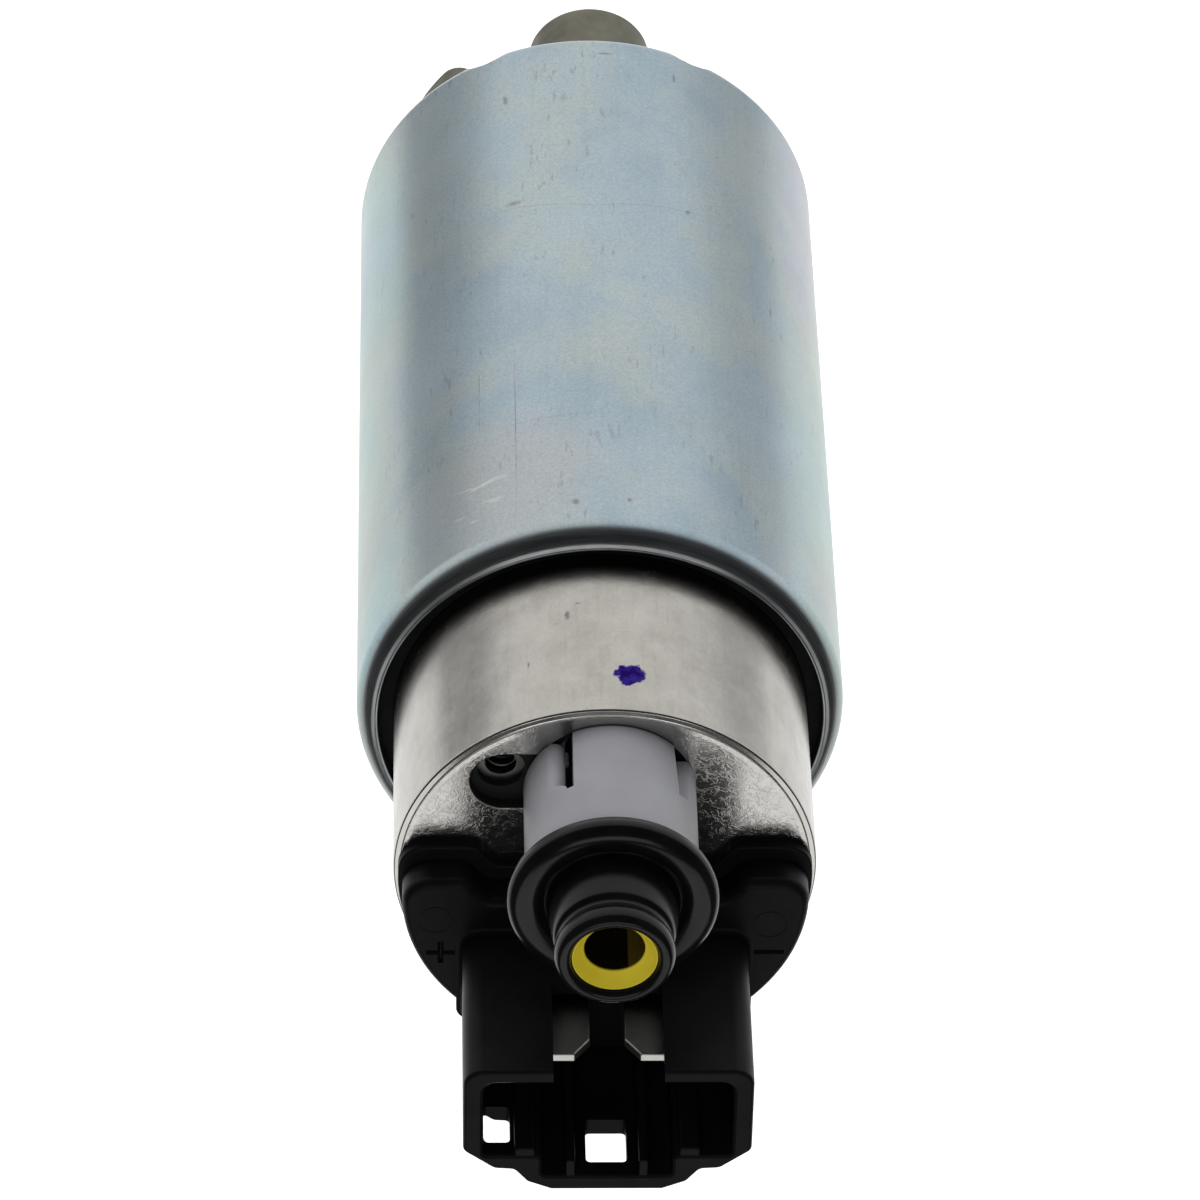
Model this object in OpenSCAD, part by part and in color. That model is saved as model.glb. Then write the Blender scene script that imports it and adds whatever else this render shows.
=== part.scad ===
// In-tank electric fuel pump: a turbine pump and its motor in one crimped steel sleeve.
// Millimetres. The origin is on the pump's axis, at the flat face of the inlet end.
// +Z runs towards the outlet and the connector, and the outlet lies on the -Y side.

/* [Housing sleeve] */
// Outer radius of the sleeve
sleeve_r = 19; // [18.5:0.1:20.5]
// Length of the sleeve over both rolled ends
sleeve_len = 64.7; // [63:0.1:72]
// Wall of the sleeve between its two shoulders
sleeve_wall = 1.6; // [1.4:0.1:2]
// Thinner wall at both rolled ends
crimp_wall = 1.1; // [0.9:0.05:1.3]
// How far the outlet end is rolled inwards
lip_reach = 0.6; // [0.4:0.05:0.9]
// How far the inlet end is rolled inwards
inlet_reach = 1.8; // [1.2:0.1:2.4]
// Outer rounding of the rolled outlet lip
lip_round = 1.55; // [1:0.05:1.6]
// Outer rounding of the rolled inlet edge
inlet_round = 1.25; // [0.8:0.05:1.6]

/* [End cup] */
// Width of the rubber ring between the cup and the sleeve
ring_w = 1.8; // [1.4:0.1:2.2]
// Wall of the cup
cup_wall = 1; // [0.8:0.05:1.1]
// Rise of the cup's end plate above the sleeve
cup_rise = 17.1; // [16:0.1:20]
// Rounding of the cup's outer rim
cup_round = 0.7; // [0.4:0.05:0.9]
// Thickness of the cup's clamped foot flange
cup_foot = 1; // [0.8:0.1:1.2]
// Height of the rubber ring between the foot flange and the lip
ring_h = 3.6; // [3:0.1:4.2]

/* [Connector] */
// Radius of the connector's base
base_r = 15.75; // [15.3:0.05:15.9]
// Height of the base's lower step
base_step = 0.9; // [0.6:0.1:1.4]
// Height of the base above the end plate
base_h = 3.5; // [3:0.1:4.5]
// Set-back of the base above its lower step
base_setback = 1.3; // [0.8:0.1:1.6]
// Distance of the wings' front edge in front of the axis
wing_front = 3.3; // [2.8:0.1:3.6]
// Inner side of each wing, from the middle plane
wing_side = 8.75; // [8.2:0.05:9.2]
// Rounding of the wings' front corners
wing_round = 2.3; // [1.6:0.1:2.6]
// Height of the shroud above the base
shroud_h = 15.2; // [13:0.1:17]
// Width of the shroud
shroud_w = 21.7; // [20.5:0.1:22]
// Wall of the shroud at its sides
shroud_wall = 1.5; // [1.2:0.1:1.8]
// Distance of the shroud's front face behind the axis
shroud_front = 3.07; // [2.8:0.01:3.4]
// Wall of the shroud at its front
front_wall = 1.25; // [1:0.05:1.4]
// Width of the notch in the front wall
notch_w = 8.3; // [7.5:0.1:9]
// Depth of the notch, from the mouth
notch_d = 9.7; // [8:0.1:11]
// Width of the latch channel
latch_w = 9.8; // [9:0.1:10.6]
// Width of the latch window in the rear wall
window_w = 3.1; // [2.6:0.1:3.6]
// Height of the latch window
window_h = 4.5; // [4:0.1:5]
// Top of the latch window below the mouth
window_drop = 1.5; // [1.2:0.1:2]

/* [Terminals] */
// Width of each flat terminal
blade_w = 4.8; // [4:0.1:5]
// Thickness of each terminal
blade_t = 0.8; // [0.6:0.1:0.8]
// Distance between the terminals' centre lines
blade_pitch = 7.4; // [7:0.1:7.8]
// Depth of the terminals' tips below the mouth
blade_drop = 4.3; // [3.5:0.1:6]

/* [Outlet] */
// Wall between the outlet's socket and the inside of the cup
outlet_wall = 1.55; // [1.3:0.05:1.7]
// Outer radius of the white outlet
outlet_r = 6.5; // [6.2:0.1:6.7]
// Sideways offset of the outlet's axis
outlet_side = -0.2; // [-0.3:0.05:0.3]
// Height of the outlet's shoulder above the end plate
outlet_h = 11.05; // [10.6:0.05:13]
// Radius of the outlet's valve chamber
chamber_r = 3.9; // [3.7:0.05:4]
// Radius of the rubber seal's flange
seal_flange_r = 7.88; // [7.4:0.02:8.2]
// Thickness of the seal's flange
seal_flange_t = 2.2; // [2:0.1:2.6]
// Radius of the seal's collar
collar_r = 4.9; // [4.7:0.05:5.2]
// Radius of the seal's nozzle tip
tip_r = 4.48; // [4.3:0.02:4.6]
// Height of the seal above its flange
nozzle_h = 5.65; // [5.4:0.05:7]
// Radius of the liner's bore
liner_bore_r = 2.25; // [1.8:0.05:2.4]

/* [Pump section] */
// Thickness of the inlet cover inside the sleeve
cover_h = 6.4; // [5.6:0.1:7.5]
// Thickness of the pump casing's disc
casing_h = 7.1; // [6.8:0.1:8.5]
// Radius of the impeller
impeller_r = 15; // [14:0.1:15.4]
// Thickness of the impeller
impeller_t = 3.8; // [3.2:0.1:4]
// Number of vanes on each face of the impeller
vanes = 36; // [24:1:48]
// Radius of the inlet boss
boss_r = 5.1; // [4.9:0.05:5.4]
// Length of the inlet boss
boss_len = 9; // [6:0.5:14]
// Radius of the bore in the inlet boss
boss_bore_r = 3.8; // [3:0.1:4]
// Width of the curved locating lug
lug_w = 3.5; // [2.4:0.1:3.6]
// Length of the locating lug
lug_len = 7; // [4:0.5:9]
// Angle that the lug's middle line spans, in degrees
lug_span = 25; // [10:1:30]

/* [Motor] */
// Radius of the motor shaft
shaft_r = 2; // [1.6:0.1:2.2]
// Radius of the armature
core_r = 12; // [11:0.1:12.1]
// Free length between each winding head and the piece beyond it
core_gap = 1.2; // [0.8:0.1:3]
// Number of armature slots and commutator bars
slots = 8; // [6:2:10]
// Radius of the disc commutator
commutator_r = 11.2; // [10.9:0.1:11.8]
// Thickness of the commutator disc
commutator_t = 4; // [3:0.1:4.4]
// Inner radius of the magnets
magnet_r = 12.6; // [12.5:0.05:13.5]
// How far the magnets reach past each end of the core
magnet_over = 2; // [0.5:0.5:3]
// Arc that each magnet spans, in degrees
magnet_arc = 130; // [110:1:140]
// Outer radius of both shaft bearings
bearing_r = 4; // [3.6:0.1:4.1]
// Length of both shaft bearings
bearing_len = 6; // [5:0.1:7]

/* [Brushes and chokes] */
// Width of a brush, across the shaft's axis
brush_w = 5; // [4.4:0.1:5.2]
// Depth of a brush
brush_d = 6; // [5:0.1:6.2]
// Length of a new brush
brush_len = 9.5; // [8:0.1:11]
// Distance of each brush from the shaft's axis
brush_off = 8.2; // [8.1:0.05:8.4]
// Length of each brush spring's space
brush_spring_len = 9.1; // [8.6:0.1:10]
// Radius of each choke's winding
choke_r = 2.6; // [2:0.1:2.7]

/* [Valves] */
// Radius of the check valve's disc
poppet_r = 3.3; // [3.1:0.05:3.35]
// Radius of the check valve's stem
stem_r = 1.15; // [0.9:0.05:1.25]
// Radius of the relief valve's ball
ball_r = 1.5; // [1.3:0.05:1.5]
// Radius of the relief valve's seat
relief_seat_r = 1; // [0.8:0.05:1.1]

/* [Hidden] */
$fn = 64;

// Small gaps: between fixed pieces, round a turning shaft, and between faces that pass
slip = 0.05;
running = 0.04;
face_gap = 0.15;
// Overshoot of a cut beyond the face it opens
eps = 0.5;

// Levels along the pump's axis, from the inlet end up
cover_seat_z = crimp_wall;
cover_top_z = cover_seat_z + cover_h;
casing_top_z = cover_top_z + casing_h;
pocket_h = impeller_t + 2 * face_gap;
hub_len = 5.4;
pin_r = 1.5;
pin_len = 4.6;
lower_bearing_z = casing_top_z + hub_len - bearing_len;
ring_top_z = sleeve_len - crimp_wall;
foot_top_z = ring_top_z - ring_h;
foot_z = foot_top_z - cup_foot;
holder_foot = 1.2;
holder_z = foot_z - holder_foot;
plate_z = sleeve_len + cup_rise;
plate_under_z = plate_z - cup_wall;
base_top_z = plate_z + base_h;
mouth_z = base_top_z + shroud_h;
tip_z = mouth_z - blade_drop;

// Radii inside the sleeve
sleeve_in_r = sleeve_r - sleeve_wall;
end_in_r = sleeve_r - crimp_wall;
lip_r = end_in_r - lip_reach;
inlet_lip_r = end_in_r - inlet_reach;
cup_r = end_in_r - ring_w;
holder_r = cup_r - cup_wall - slip;

// The flow channel round the impeller's vanes, and the room about the pump's turning pieces
flow_r = 1.6;
flow_mid_r = impeller_r - flow_r;
flow_start = -80;
flow_span = 310;
impeller_room = 0.3;
shaft_room = 0.6;

// The rotor, hung between its two bearings
impeller_z = cover_top_z + face_gap;
commutator_top_z = holder_z - 1.4;
commutator_z = commutator_top_z - commutator_t;
winding_head = 3;
core_z = casing_top_z + hub_len + core_gap + winding_head;
core_len = commutator_z - core_gap - winding_head - core_z;
magnet_len = core_len + 2 * magnet_over;
magnet_z = core_z - magnet_over;
upper_bearing_z = holder_z + 2.7;
shaft_top_z = upper_bearing_z + bearing_len + 1;
flat_x = shaft_r * 0.8;
core_slot_in_r = 6.5;
core_slot_w = 2.4;
tooth_tip = 1.2;

// The brushes stand on the commutator, with their springs above
brush_top_z = commutator_top_z + brush_len;
brush_roof_z = brush_top_z + brush_spring_len;
lead_r = 0.35;
lead_z = brush_roof_z + 0.85;
choke_wall = 2.55;
choke_pocket_r = choke_r + 0.3;
choke_x = 6.2;
choke_y = holder_r - choke_pocket_r - choke_wall;
choke_top_z = lead_z - lead_r + slip;
choke_len = 14;
choke_z = choke_top_z - choke_len;
terminal_lead_x = 5;

// The plug of the connector passes the end plate's rear window
window_x = 9.5;
window_y = 1.5;
window_wall = 1.15;
window_r = holder_r - window_wall;
plug_z = lead_z + lead_r + 1.1;
shroud_floor_z = base_top_z + 1.2;
shroud_hx = shroud_w / 2;
shroud_in_x = shroud_hx - shroud_wall;
blade_y = shroud_front + 2.33;
blade_foot_z = choke_top_z;

// Outline of the shroud's stepped rear side, x and y on the right half
shoulder_y = 11.9;
channel_y = 14;
rear_outline = [[shroud_hx, shoulder_y - 0.5], [shroud_hx - 2.35, shoulder_y + 1.4],
    [shroud_hx - 3.85, shoulder_y + 1.5], [shroud_hx - 4.85, channel_y + 0.7],
    [shroud_hx - 6.65, channel_y + 1.5]];

// The outlet and its check valve
socket_r = 5.2;
spigot_len = 9.6;
seat_rise = 3.8;
valve_len = 10.5;
outlet_off = cup_r - cup_wall - socket_r - outlet_wall;
spigot_z = plate_z - spigot_len;
seat_z = spigot_z + seat_rise;
seat_bore_r = 2.6;
retainer_z = seat_z + valve_len;
retainer_t = 2;
neck_h = 0.5;
bead_h = 0.8;
bead_z = plate_z + outlet_h + neck_h;
bead_top_z = bead_z + bead_h;
neck_r = outlet_r - 1.5;
bead_r = neck_r + 0.6;
seal_z = plate_z + outlet_h + slip;
seal_top_z = seal_z + seal_flange_t + nozzle_h;
liner_r = 3.35;
liner_top_z = seal_top_z - 0.6;
liner_foot_r = liner_r + 1.25;
liner_foot_t = 0.6;
funnel_h = 1.25;
poppet_t = 1.2;
stem_top_z = retainer_z + retainer_t / 2;

// The relief valve beside the outlet
relief_x = 8;
relief_in = 5.45;
relief_y = relief_in - holder_r;
relief_bore_r = ball_r + 0.35;
relief_deep = 8.8;
relief_seat_z = plate_under_z - relief_deep;
ball_z = relief_seat_z + sqrt(ball_r * ball_r - relief_seat_r * relief_seat_r) + slip;
relief_clip_drop = 1.3;
relief_clip_z = plate_under_z - relief_clip_drop;
relief_clip_t = 0.6;

// Places of the inlet boss and the lug
boss_x = -0.3;
boss_gap = 0.7;
boss_y = boss_r + boss_gap - inlet_lip_r;
lug_mid_r = inlet_lip_r - 0.4 - lug_w / 2;
lug_end = -40;
vent_x = lug_mid_r * cos(lug_end + lug_span / 2);
vent_y = lug_mid_r * sin(lug_end + lug_span / 2);

// Springs: mean radius, wire radius and number of curls
check_coil = [2.2, 0.225, 7];
relief_coil = [1.2, 0.175, 5.5];
brush_coil = [2, 0.2, 9];
rings_a_curl = 8;
wire_sides = 6;

// Points of an arc, from angle a0 to a1, that may be taller or lower than it is wide
function arc(c, r, a0, a1, n = 8, tall = 1) =
    [for (i = [0:n]) let (a = a0 + (a1 - a0) * i / n) c + r * [cos(a), tall * sin(a)]];

// Centre line of a coil spring whose ends run straight for one wire diameter
function coil_line(r, wire_r, z0, z1, curls) =
    let (n = round(curls * rings_a_curl), last = 360 * curls, tail = 2 * wire_r)
    concat(
        [[r, -tail, z0]],
        [for (i = [0:n]) let (a = last * i / n) [r * cos(a), r * sin(a), z0 + (z1 - z0) * i / n]],
        [[r * cos(last) - tail * sin(last), r * sin(last) + tail * cos(last), z1]]
    );

function unit(v) = v / norm(v);

// One ring of a swept wire, square to the line's direction at point i
function wire_ring(line, i, wire_r) =
    let (
        n = len(line),
        t = unit(line[min(i + 1, n - 1)] - line[max(i - 1, 0)]),
        side = unit(cross(t, [0, 0, 1])),
        up = cross(side, t)
    )
    [for (k = [0:wire_sides - 1]) let (a = 360 * k / wire_sides)
        line[i] + wire_r * (cos(a) * side + sin(a) * up)];

// Least gap between curls, measured from ring centre to ring centre
function least_gap(line, wire_r) =
    let (n = len(line), apart = rings_a_curl / 2)
    min([for (i = [0:n - 1]) for (j = [i + apart:1:n - 1]) norm(line[i] - line[j])]) - 2 * wire_r;

module wire(line, wire_r) {
    n = len(line);
    s = wire_sides;
    points = [for (i = [0:n - 1]) each wire_ring(line, i, wire_r)];
    skin = [for (i = [0:n - 2]) for (k = [0:s - 1]) let (a = i * s + k, b = i * s + (k + 1) % s)
        each [[a, b, b + s], [a, b + s, a + s]]];
    first_cap = [for (k = [1:s - 2]) [0, k + 1, k]];
    last_cap = [for (k = [1:s - 2]) [(n - 1) * s, (n - 1) * s + k, (n - 1) * s + k + 1]];
    polyhedron(points, concat(skin, first_cap, last_cap));
}

// A coil spring that stands between two levels
module coil_spring(name, coil, low_z, high_z) {
    room = coil[1] + slip;
    line = coil_line(coil[0], coil[1], low_z + room, high_z - room, coil[2]);
    echo(spring = name, least_gap = least_gap(line, coil[1]));
    wire(line, coil[1]);
}

// A slice of a tube between two angles about +X, cut from a full ring
module ring_sector(r_in, r_out, mid_angle, span, h) {
    reach = r_out * 3;
    intersection() {
        difference() {
            cylinder(r = r_out, h = h);
            translate([0, 0, -eps]) cylinder(r = r_in, h = h + 2 * eps);
        }
        rotate([0, 0, mid_angle]) linear_extrude(h)
            polygon([[0, 0], reach * [cos(span / 2), -sin(span / 2)],
                reach * [1, 0], reach * [cos(span / 2), sin(span / 2)]]);
    }
}

// A plan from x0 to x1, rounded at its two front corners
module round_front(x0, x1, y0, y1, r) {
    translate([x0 + r, y0]) square([x1 - x0 - 2 * r, y1 - y0]);
    translate([x0, y0 + r]) square([x1 - x0, y1 - y0 - r]);
    for (x = [x0 + r, x1 - r]) translate([x, y0 + r]) circle(r = r);
}

module housing_sleeve() {
    profile = concat(
        [[inlet_lip_r, 0]],
        arc([sleeve_r - inlet_round, inlet_round], inlet_round, -90, 0),
        arc([sleeve_r - lip_round, sleeve_len - lip_round], lip_round, 0, 90),
        [
            [lip_r, sleeve_len], [lip_r, ring_top_z], [end_in_r, ring_top_z],
            [end_in_r, holder_z], [sleeve_in_r, holder_z],
            [sleeve_in_r, casing_top_z], [end_in_r, casing_top_z],
            [end_in_r, cover_seat_z], [inlet_lip_r, cover_seat_z]
        ]
    );
    stake_r = 4;
    stake_depth = 0.55;
    stake_angle = 27;
    stake_x = sleeve_r - inlet_round + (inlet_round + stake_r - stake_depth) * cos(45);
    stake_z = inlet_round - (inlet_round + stake_r - stake_depth) * sin(45);
    color("lightsteelblue") difference() {
        rotate_extrude($fn = 96) polygon(profile);
        for (side = [-90, 90], turn = [-stake_angle, stake_angle])
            rotate([0, 0, side + turn]) translate([stake_x, 0, stake_z]) sphere(r = stake_r);
    }
}

module sleeve_seal() {
    color([0.08, 0.08, 0.08]) translate([0, 0, foot_top_z]) difference() {
        cylinder(r = end_in_r - slip, h = ring_h);
        translate([0, 0, -eps]) cylinder(r = cup_r + slip, h = ring_h + 2 * eps);
    }
}

// Plan of the rear window in the end plate, which the connector's plug passes
module window_plan(gap) {
    intersection() {
        circle(r = window_r - gap);
        translate([-window_x + gap, window_y + gap]) square([2 * (window_x - gap), window_r]);
    }
}

module end_cup() {
    profile = concat(
        [[0, plate_under_z], [cup_r - cup_wall, plate_under_z], [cup_r - cup_wall, foot_z],
            [end_in_r - slip, foot_z], [end_in_r - slip, foot_top_z], [cup_r, foot_top_z]],
        arc([cup_r - cup_round, plate_z - cup_round], cup_round, 0, 90),
        [[0, plate_z]]
    );
    slot_r = 2.67;
    slot_x = relief_x - 0.35;
    slot_y = relief_y + 0.5;
    color("gainsboro") difference() {
        rotate_extrude($fn = 96) polygon(profile);
        translate([0, 0, plate_under_z - eps]) {
            translate([outlet_side, -outlet_off, 0])
                cylinder(r = socket_r + slip, h = cup_wall + 2 * eps);
            linear_extrude(cup_wall + 2 * eps) window_plan(0);
            translate([slot_x, slot_y, 0]) cylinder(r = slot_r, h = cup_wall + 2 * eps);
            translate([0, slot_y - slot_r, 0]) cube([slot_x, 2 * slot_r, cup_wall + 2 * eps]);
        }
    }
}

// Plan of the connector's base: two wings joined across the middle
module base_plan(setback) {
    outlet_room = 0.52;
    middle_front = outlet_r + outlet_room - outlet_off + setback;
    intersection() {
        circle(r = base_r, $fn = 96);
        union() {
            translate([-base_r, middle_front + wing_round]) square([2 * base_r, 2 * base_r]);
            translate([-wing_side, middle_front]) square([2 * wing_side, base_r]);
            for (side = [-1, 1]) scale([side, 1])
                round_front(wing_side + setback / 2, base_r - setback / 4,
                    setback - wing_front, base_r, wing_round);
        }
    }
}

module shroud_plan() {
    r = 1.5;
    last = len(rear_outline) - 1;
    polygon(concat(
        arc([r - shroud_hx, shroud_front + r], r, 180, 270),
        arc([shroud_hx - r, shroud_front + r], r, 270, 360),
        rear_outline,
        [for (i = [last:-1:0]) [-rear_outline[i][0], rear_outline[i][1]]]
    ));
}

// Hollow of the shroud, with the latch channel at its rear
module shroud_hollow() {
    in_y = shroud_front + front_wall;
    translate([-shroud_in_x, in_y]) square([2 * shroud_in_x, shoulder_y - in_y]);
    translate([-latch_w / 2, in_y]) square([latch_w, channel_y - in_y]);
}

module polarity_mark(x, plus) {
    mark_y = 5.2;
    mark_w = 2.5;
    stroke = 0.7;
    depth = 0.3;
    translate([x, mark_y, base_top_z - depth]) {
        translate([-mark_w / 2, -stroke / 2, 0]) cube([mark_w, stroke, depth + eps]);
        if (plus) translate([-stroke / 2, -mark_w / 2, 0]) cube([stroke, mark_w, depth + eps]);
    }
}

module connector_housing() {
    mark_x = 12.5;
    rail_w = 0.7;
    rail_x = 2.4;
    rail_d = 1.5;
    tongue_x = 5.4;
    tongue_w = 1.6;
    tongue_d = 0.7;
    side_window_x = 7.3;
    side_window_h = window_h - 0.7;
    window_top = mouth_z - window_drop;
    color([0.1, 0.1, 0.1]) difference() {
        union() {
            translate([0, 0, plug_z]) linear_extrude(plate_z - plug_z + slip) window_plan(slip);
            translate([0, 0, plate_z]) linear_extrude(base_step) base_plan(0);
            translate([0, 0, plate_z]) linear_extrude(base_h) base_plan(base_setback);
            translate([0, 0, plate_z]) linear_extrude(base_h + shroud_h) shroud_plan();
        }
        difference() {
            translate([0, 0, shroud_floor_z])
                linear_extrude(mouth_z - shroud_floor_z + eps) shroud_hollow();
            for (side = [-1, 1]) {
                translate([side * (rail_x + rail_w / 2) - rail_w / 2,
                        channel_y - rail_d, shroud_floor_z])
                    cube([rail_w, rail_d + eps, mouth_z - shroud_floor_z]);
                translate([side * (tongue_x + tongue_w / 2) - tongue_w / 2,
                        shoulder_y - tongue_d, shroud_floor_z])
                    cube([tongue_w, tongue_d + eps, mouth_z - shroud_floor_z]);
            }
        }
        translate([-notch_w / 2, shroud_front - eps, mouth_z - notch_d])
            cube([notch_w, front_wall + 2 * eps, notch_d + eps]);
        translate([-window_w / 2, channel_y - eps, window_top - window_h])
            cube([window_w, 2 + eps, window_h]);
        translate([side_window_x, shoulder_y - eps, window_top - side_window_h])
            cube([shroud_in_x - side_window_x, 3, side_window_h]);
        for (side = [-1, 1])
            translate([side * blade_pitch / 2 - blade_w / 2 - slip, blade_y - slip, plug_z - eps])
                cube([blade_w + 2 * slip, blade_t + 2 * slip, shroud_floor_z - plug_z + 2 * eps]);
        polarity_mark(mark_x, true);
        polarity_mark(-mark_x, false);
    }
}

// Flat terminal with its inner top corner cut; side is 1 for +X and -1 for -X
module terminal(side) {
    cut_x = 1.2;
    cut_z = 1.6;
    inner = blade_pitch / 2 - blade_w / 2;
    outer = inner + blade_w;
    color("silver") scale([side, 1, 1]) translate([0, blade_y + blade_t, 0]) rotate([90, 0, 0])
        linear_extrude(blade_t) polygon([[inner, blade_foot_z], [outer, blade_foot_z],
            [outer, tip_z], [inner + cut_x, tip_z], [inner, tip_z - cut_z]]);
}

module outlet_fitting() {
    slot_x = 2.9;
    slot_h = 4.8;
    slot_w = 0.7;
    slot_d = 2.4;
    notch_x = 4.6;
    notch_y = -5.8;
    notch_d = 2.6;
    notch_h = 2.2;
    color([0.86, 0.86, 0.9]) translate([outlet_side, -outlet_off, 0]) difference() {
        rotate_extrude() polygon([
            [seat_bore_r, spigot_z], [socket_r - slip, spigot_z], [socket_r - slip, plate_z],
            [outlet_r, plate_z], [outlet_r, plate_z + outlet_h], [neck_r, plate_z + outlet_h],
            [neck_r, bead_z], [bead_r, bead_z + 0.2], [bead_r - 0.3, bead_top_z],
            [chamber_r, bead_top_z], [chamber_r, seat_z], [seat_bore_r, seat_z]
        ]);
        translate([slot_x, -outlet_r - eps, plate_z - eps])
            cube([slot_w, slot_d + eps, slot_h + eps]);
        translate([-outlet_r - eps, notch_y, plate_z - eps])
            cube([outlet_r - notch_x + eps, notch_d, notch_h + eps]);
    }
}

module outlet_seal() {
    round_r = seal_flange_t / 2;
    flange_mid = seal_z + round_r;
    flange_top = seal_z + seal_flange_t;
    recess_r = seal_flange_r - 1.8;
    recess_d = 0.4;
    collar_round = 0.5;
    collar_z = flange_top + 1.2;
    waist_r = tip_r - 0.4;
    waist_z = collar_z + 0.9;
    barrel_z = waist_z + 0.9;
    lip_in = liner_r + slip;
    lip_half = (tip_r - lip_in) / 2;
    lip_tall = 2.4;
    foot_r = liner_foot_r + slip;
    foot_z = bead_top_z + liner_foot_t + slip;
    profile = concat(
        [[neck_r + slip, seal_z], [seal_flange_r - round_r, seal_z]],
        arc([seal_flange_r - round_r, flange_mid], round_r, -70, 90),
        [
            [recess_r, flange_top - 0.05], [recess_r - 0.6, flange_top - recess_d],
            [collar_r + 0.35, flange_top - 0.1], [collar_r, flange_top + 0.4]
        ],
        arc([collar_r - collar_round, collar_z - collar_round], collar_round, 0, 80, 5),
        [[waist_r, waist_z], [waist_r + 0.2, waist_z + 0.45], [tip_r, barrel_z]],
        arc([tip_r - lip_half, seal_top_z - lip_half * lip_tall], lip_half, 0, 90, 6, lip_tall),
        arc([tip_r - lip_half, seal_top_z - lip_half], lip_half, 108, 180, 4),
        [
            [lip_in, foot_z], [foot_r, foot_z], [foot_r, bead_top_z + slip],
            [bead_r + slip, bead_top_z + slip], [bead_r + slip, bead_z - slip],
            [neck_r + slip, bead_z - slip]
        ]
    );
    color([0.05, 0.05, 0.05]) translate([outlet_side, -outlet_off, 0]) rotate_extrude() polygon(profile);
}

module seal_liner() {
    color("gold") translate([outlet_side, -outlet_off, 0]) rotate_extrude() polygon([
        [liner_bore_r, bead_top_z], [liner_foot_r, bead_top_z],
        [liner_foot_r, bead_top_z + liner_foot_t], [liner_r, bead_top_z + liner_foot_t],
        [liner_r, liner_top_z], [liner_r - 0.08, liner_top_z],
        [liner_bore_r, liner_top_z - funnel_h]
    ]);
}

module check_valve() {
    color("dimgray") translate([outlet_side, -outlet_off, seat_z + slip]) {
        cylinder(r = poppet_r, h = poppet_t);
        cylinder(r = stem_r, h = stem_top_z - seat_z - slip);
    }
}

module check_spring() {
    color("silver") translate([outlet_side, -outlet_off, 0])
        coil_spring("check", check_coil, seat_z + slip + poppet_t, retainer_z);
}

module check_retainer() {
    ports = 6;
    port_r = 0.7;
    port_mid_r = (stem_r + chamber_r) / 2;
    color("white") translate([outlet_side, -outlet_off, retainer_z]) difference() {
        cylinder(r = chamber_r - slip / 2, h = retainer_t);
        translate([0, 0, -eps]) cylinder(r = stem_r + running, h = retainer_t + 2 * eps);
        for (i = [0:ports - 1]) rotate([0, 0, 360 * i / ports])
            translate([port_mid_r, 0, -eps]) cylinder(r = port_r, h = retainer_t + 2 * eps);
    }
}

// Hollow of one brush's tube, its choke's pocket and the trench between them
module brush_hollows() {
    cut_z = holder_z - eps;
    top_z = plug_z + eps;
    translate([brush_off - brush_w / 2 - running, -brush_d / 2 - running, cut_z])
        cube([brush_w + 2 * running, brush_d + 2 * running, brush_roof_z - cut_z]);
    translate([brush_off, 0, brush_roof_z - eps])
        cylinder(r = 2 * lead_r, h = lead_z - brush_roof_z + eps);
    translate([brush_off - 2 * lead_r, -2 * lead_r, lead_z - 2 * lead_r])
        cube([4 * lead_r, choke_y, 4 * lead_r]);
    translate([choke_x, choke_y, choke_z - slip])
        cylinder(r = choke_pocket_r, h = top_z - choke_z + slip);
    translate([blade_pitch / 2 - blade_w / 2 - slip, blade_y - slip, blade_foot_z - slip])
        cube([blade_w + 2 * slip, blade_t + 2 * slip, top_z - blade_foot_z]);
    translate([terminal_lead_x - 2 * lead_r, blade_y, lead_z - 2 * lead_r])
        cube([4 * lead_r, choke_y - blade_y, top_z - lead_z]);
}

module brush_holder() {
    passage_r = 3.2;
    color([0.14, 0.14, 0.14]) difference() {
        union() {
            translate([0, 0, holder_z]) cylinder(r = end_in_r - slip, h = holder_foot);
            translate([0, 0, holder_z]) cylinder(r = holder_r, h = plate_under_z - slip - holder_z);
        }
        translate([0, 0, plug_z - slip]) linear_extrude(plate_z - plug_z) window_plan(-slip);
        translate([0, 0, holder_z - eps])
            cylinder(r = shaft_r + shaft_room, h = shaft_top_z + 1 - holder_z);
        translate([0, 0, upper_bearing_z]) cylinder(r = bearing_r + slip / 2, h = bearing_len);
        translate([outlet_side, -outlet_off, holder_z - eps])
            cylinder(r = passage_r, h = plate_z - holder_z);
        translate([outlet_side, -outlet_off, spigot_z - slip])
            cylinder(r = socket_r, h = plate_z - spigot_z);
        translate([relief_x, relief_y, holder_z - eps])
            cylinder(r = relief_seat_r, h = relief_seat_z - holder_z + 2 * eps);
        translate([relief_x, relief_y, relief_seat_z])
            cylinder(r = relief_bore_r, h = plate_z - relief_seat_z);
        brush_hollows();
        mirror([1, 0, 0]) brush_hollows();
    }
}

// Sintered bush that the shaft runs in
module bearing_bush(low_z) {
    color("peru") translate([0, 0, low_z]) difference() {
        cylinder(r = bearing_r, h = bearing_len);
        translate([0, 0, -eps]) cylinder(r = shaft_r + running, h = bearing_len + 2 * eps);
    }
}

module upper_bearing() {
    bearing_bush(upper_bearing_z);
}

module relief_ball() {
    color("silver") translate([relief_x, relief_y, ball_z]) sphere(r = ball_r);
}

module relief_spring() {
    color("silver") translate([relief_x, relief_y, 0])
        coil_spring("relief", relief_coil, ball_z + ball_r - 0.25, relief_clip_z);
}

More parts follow.
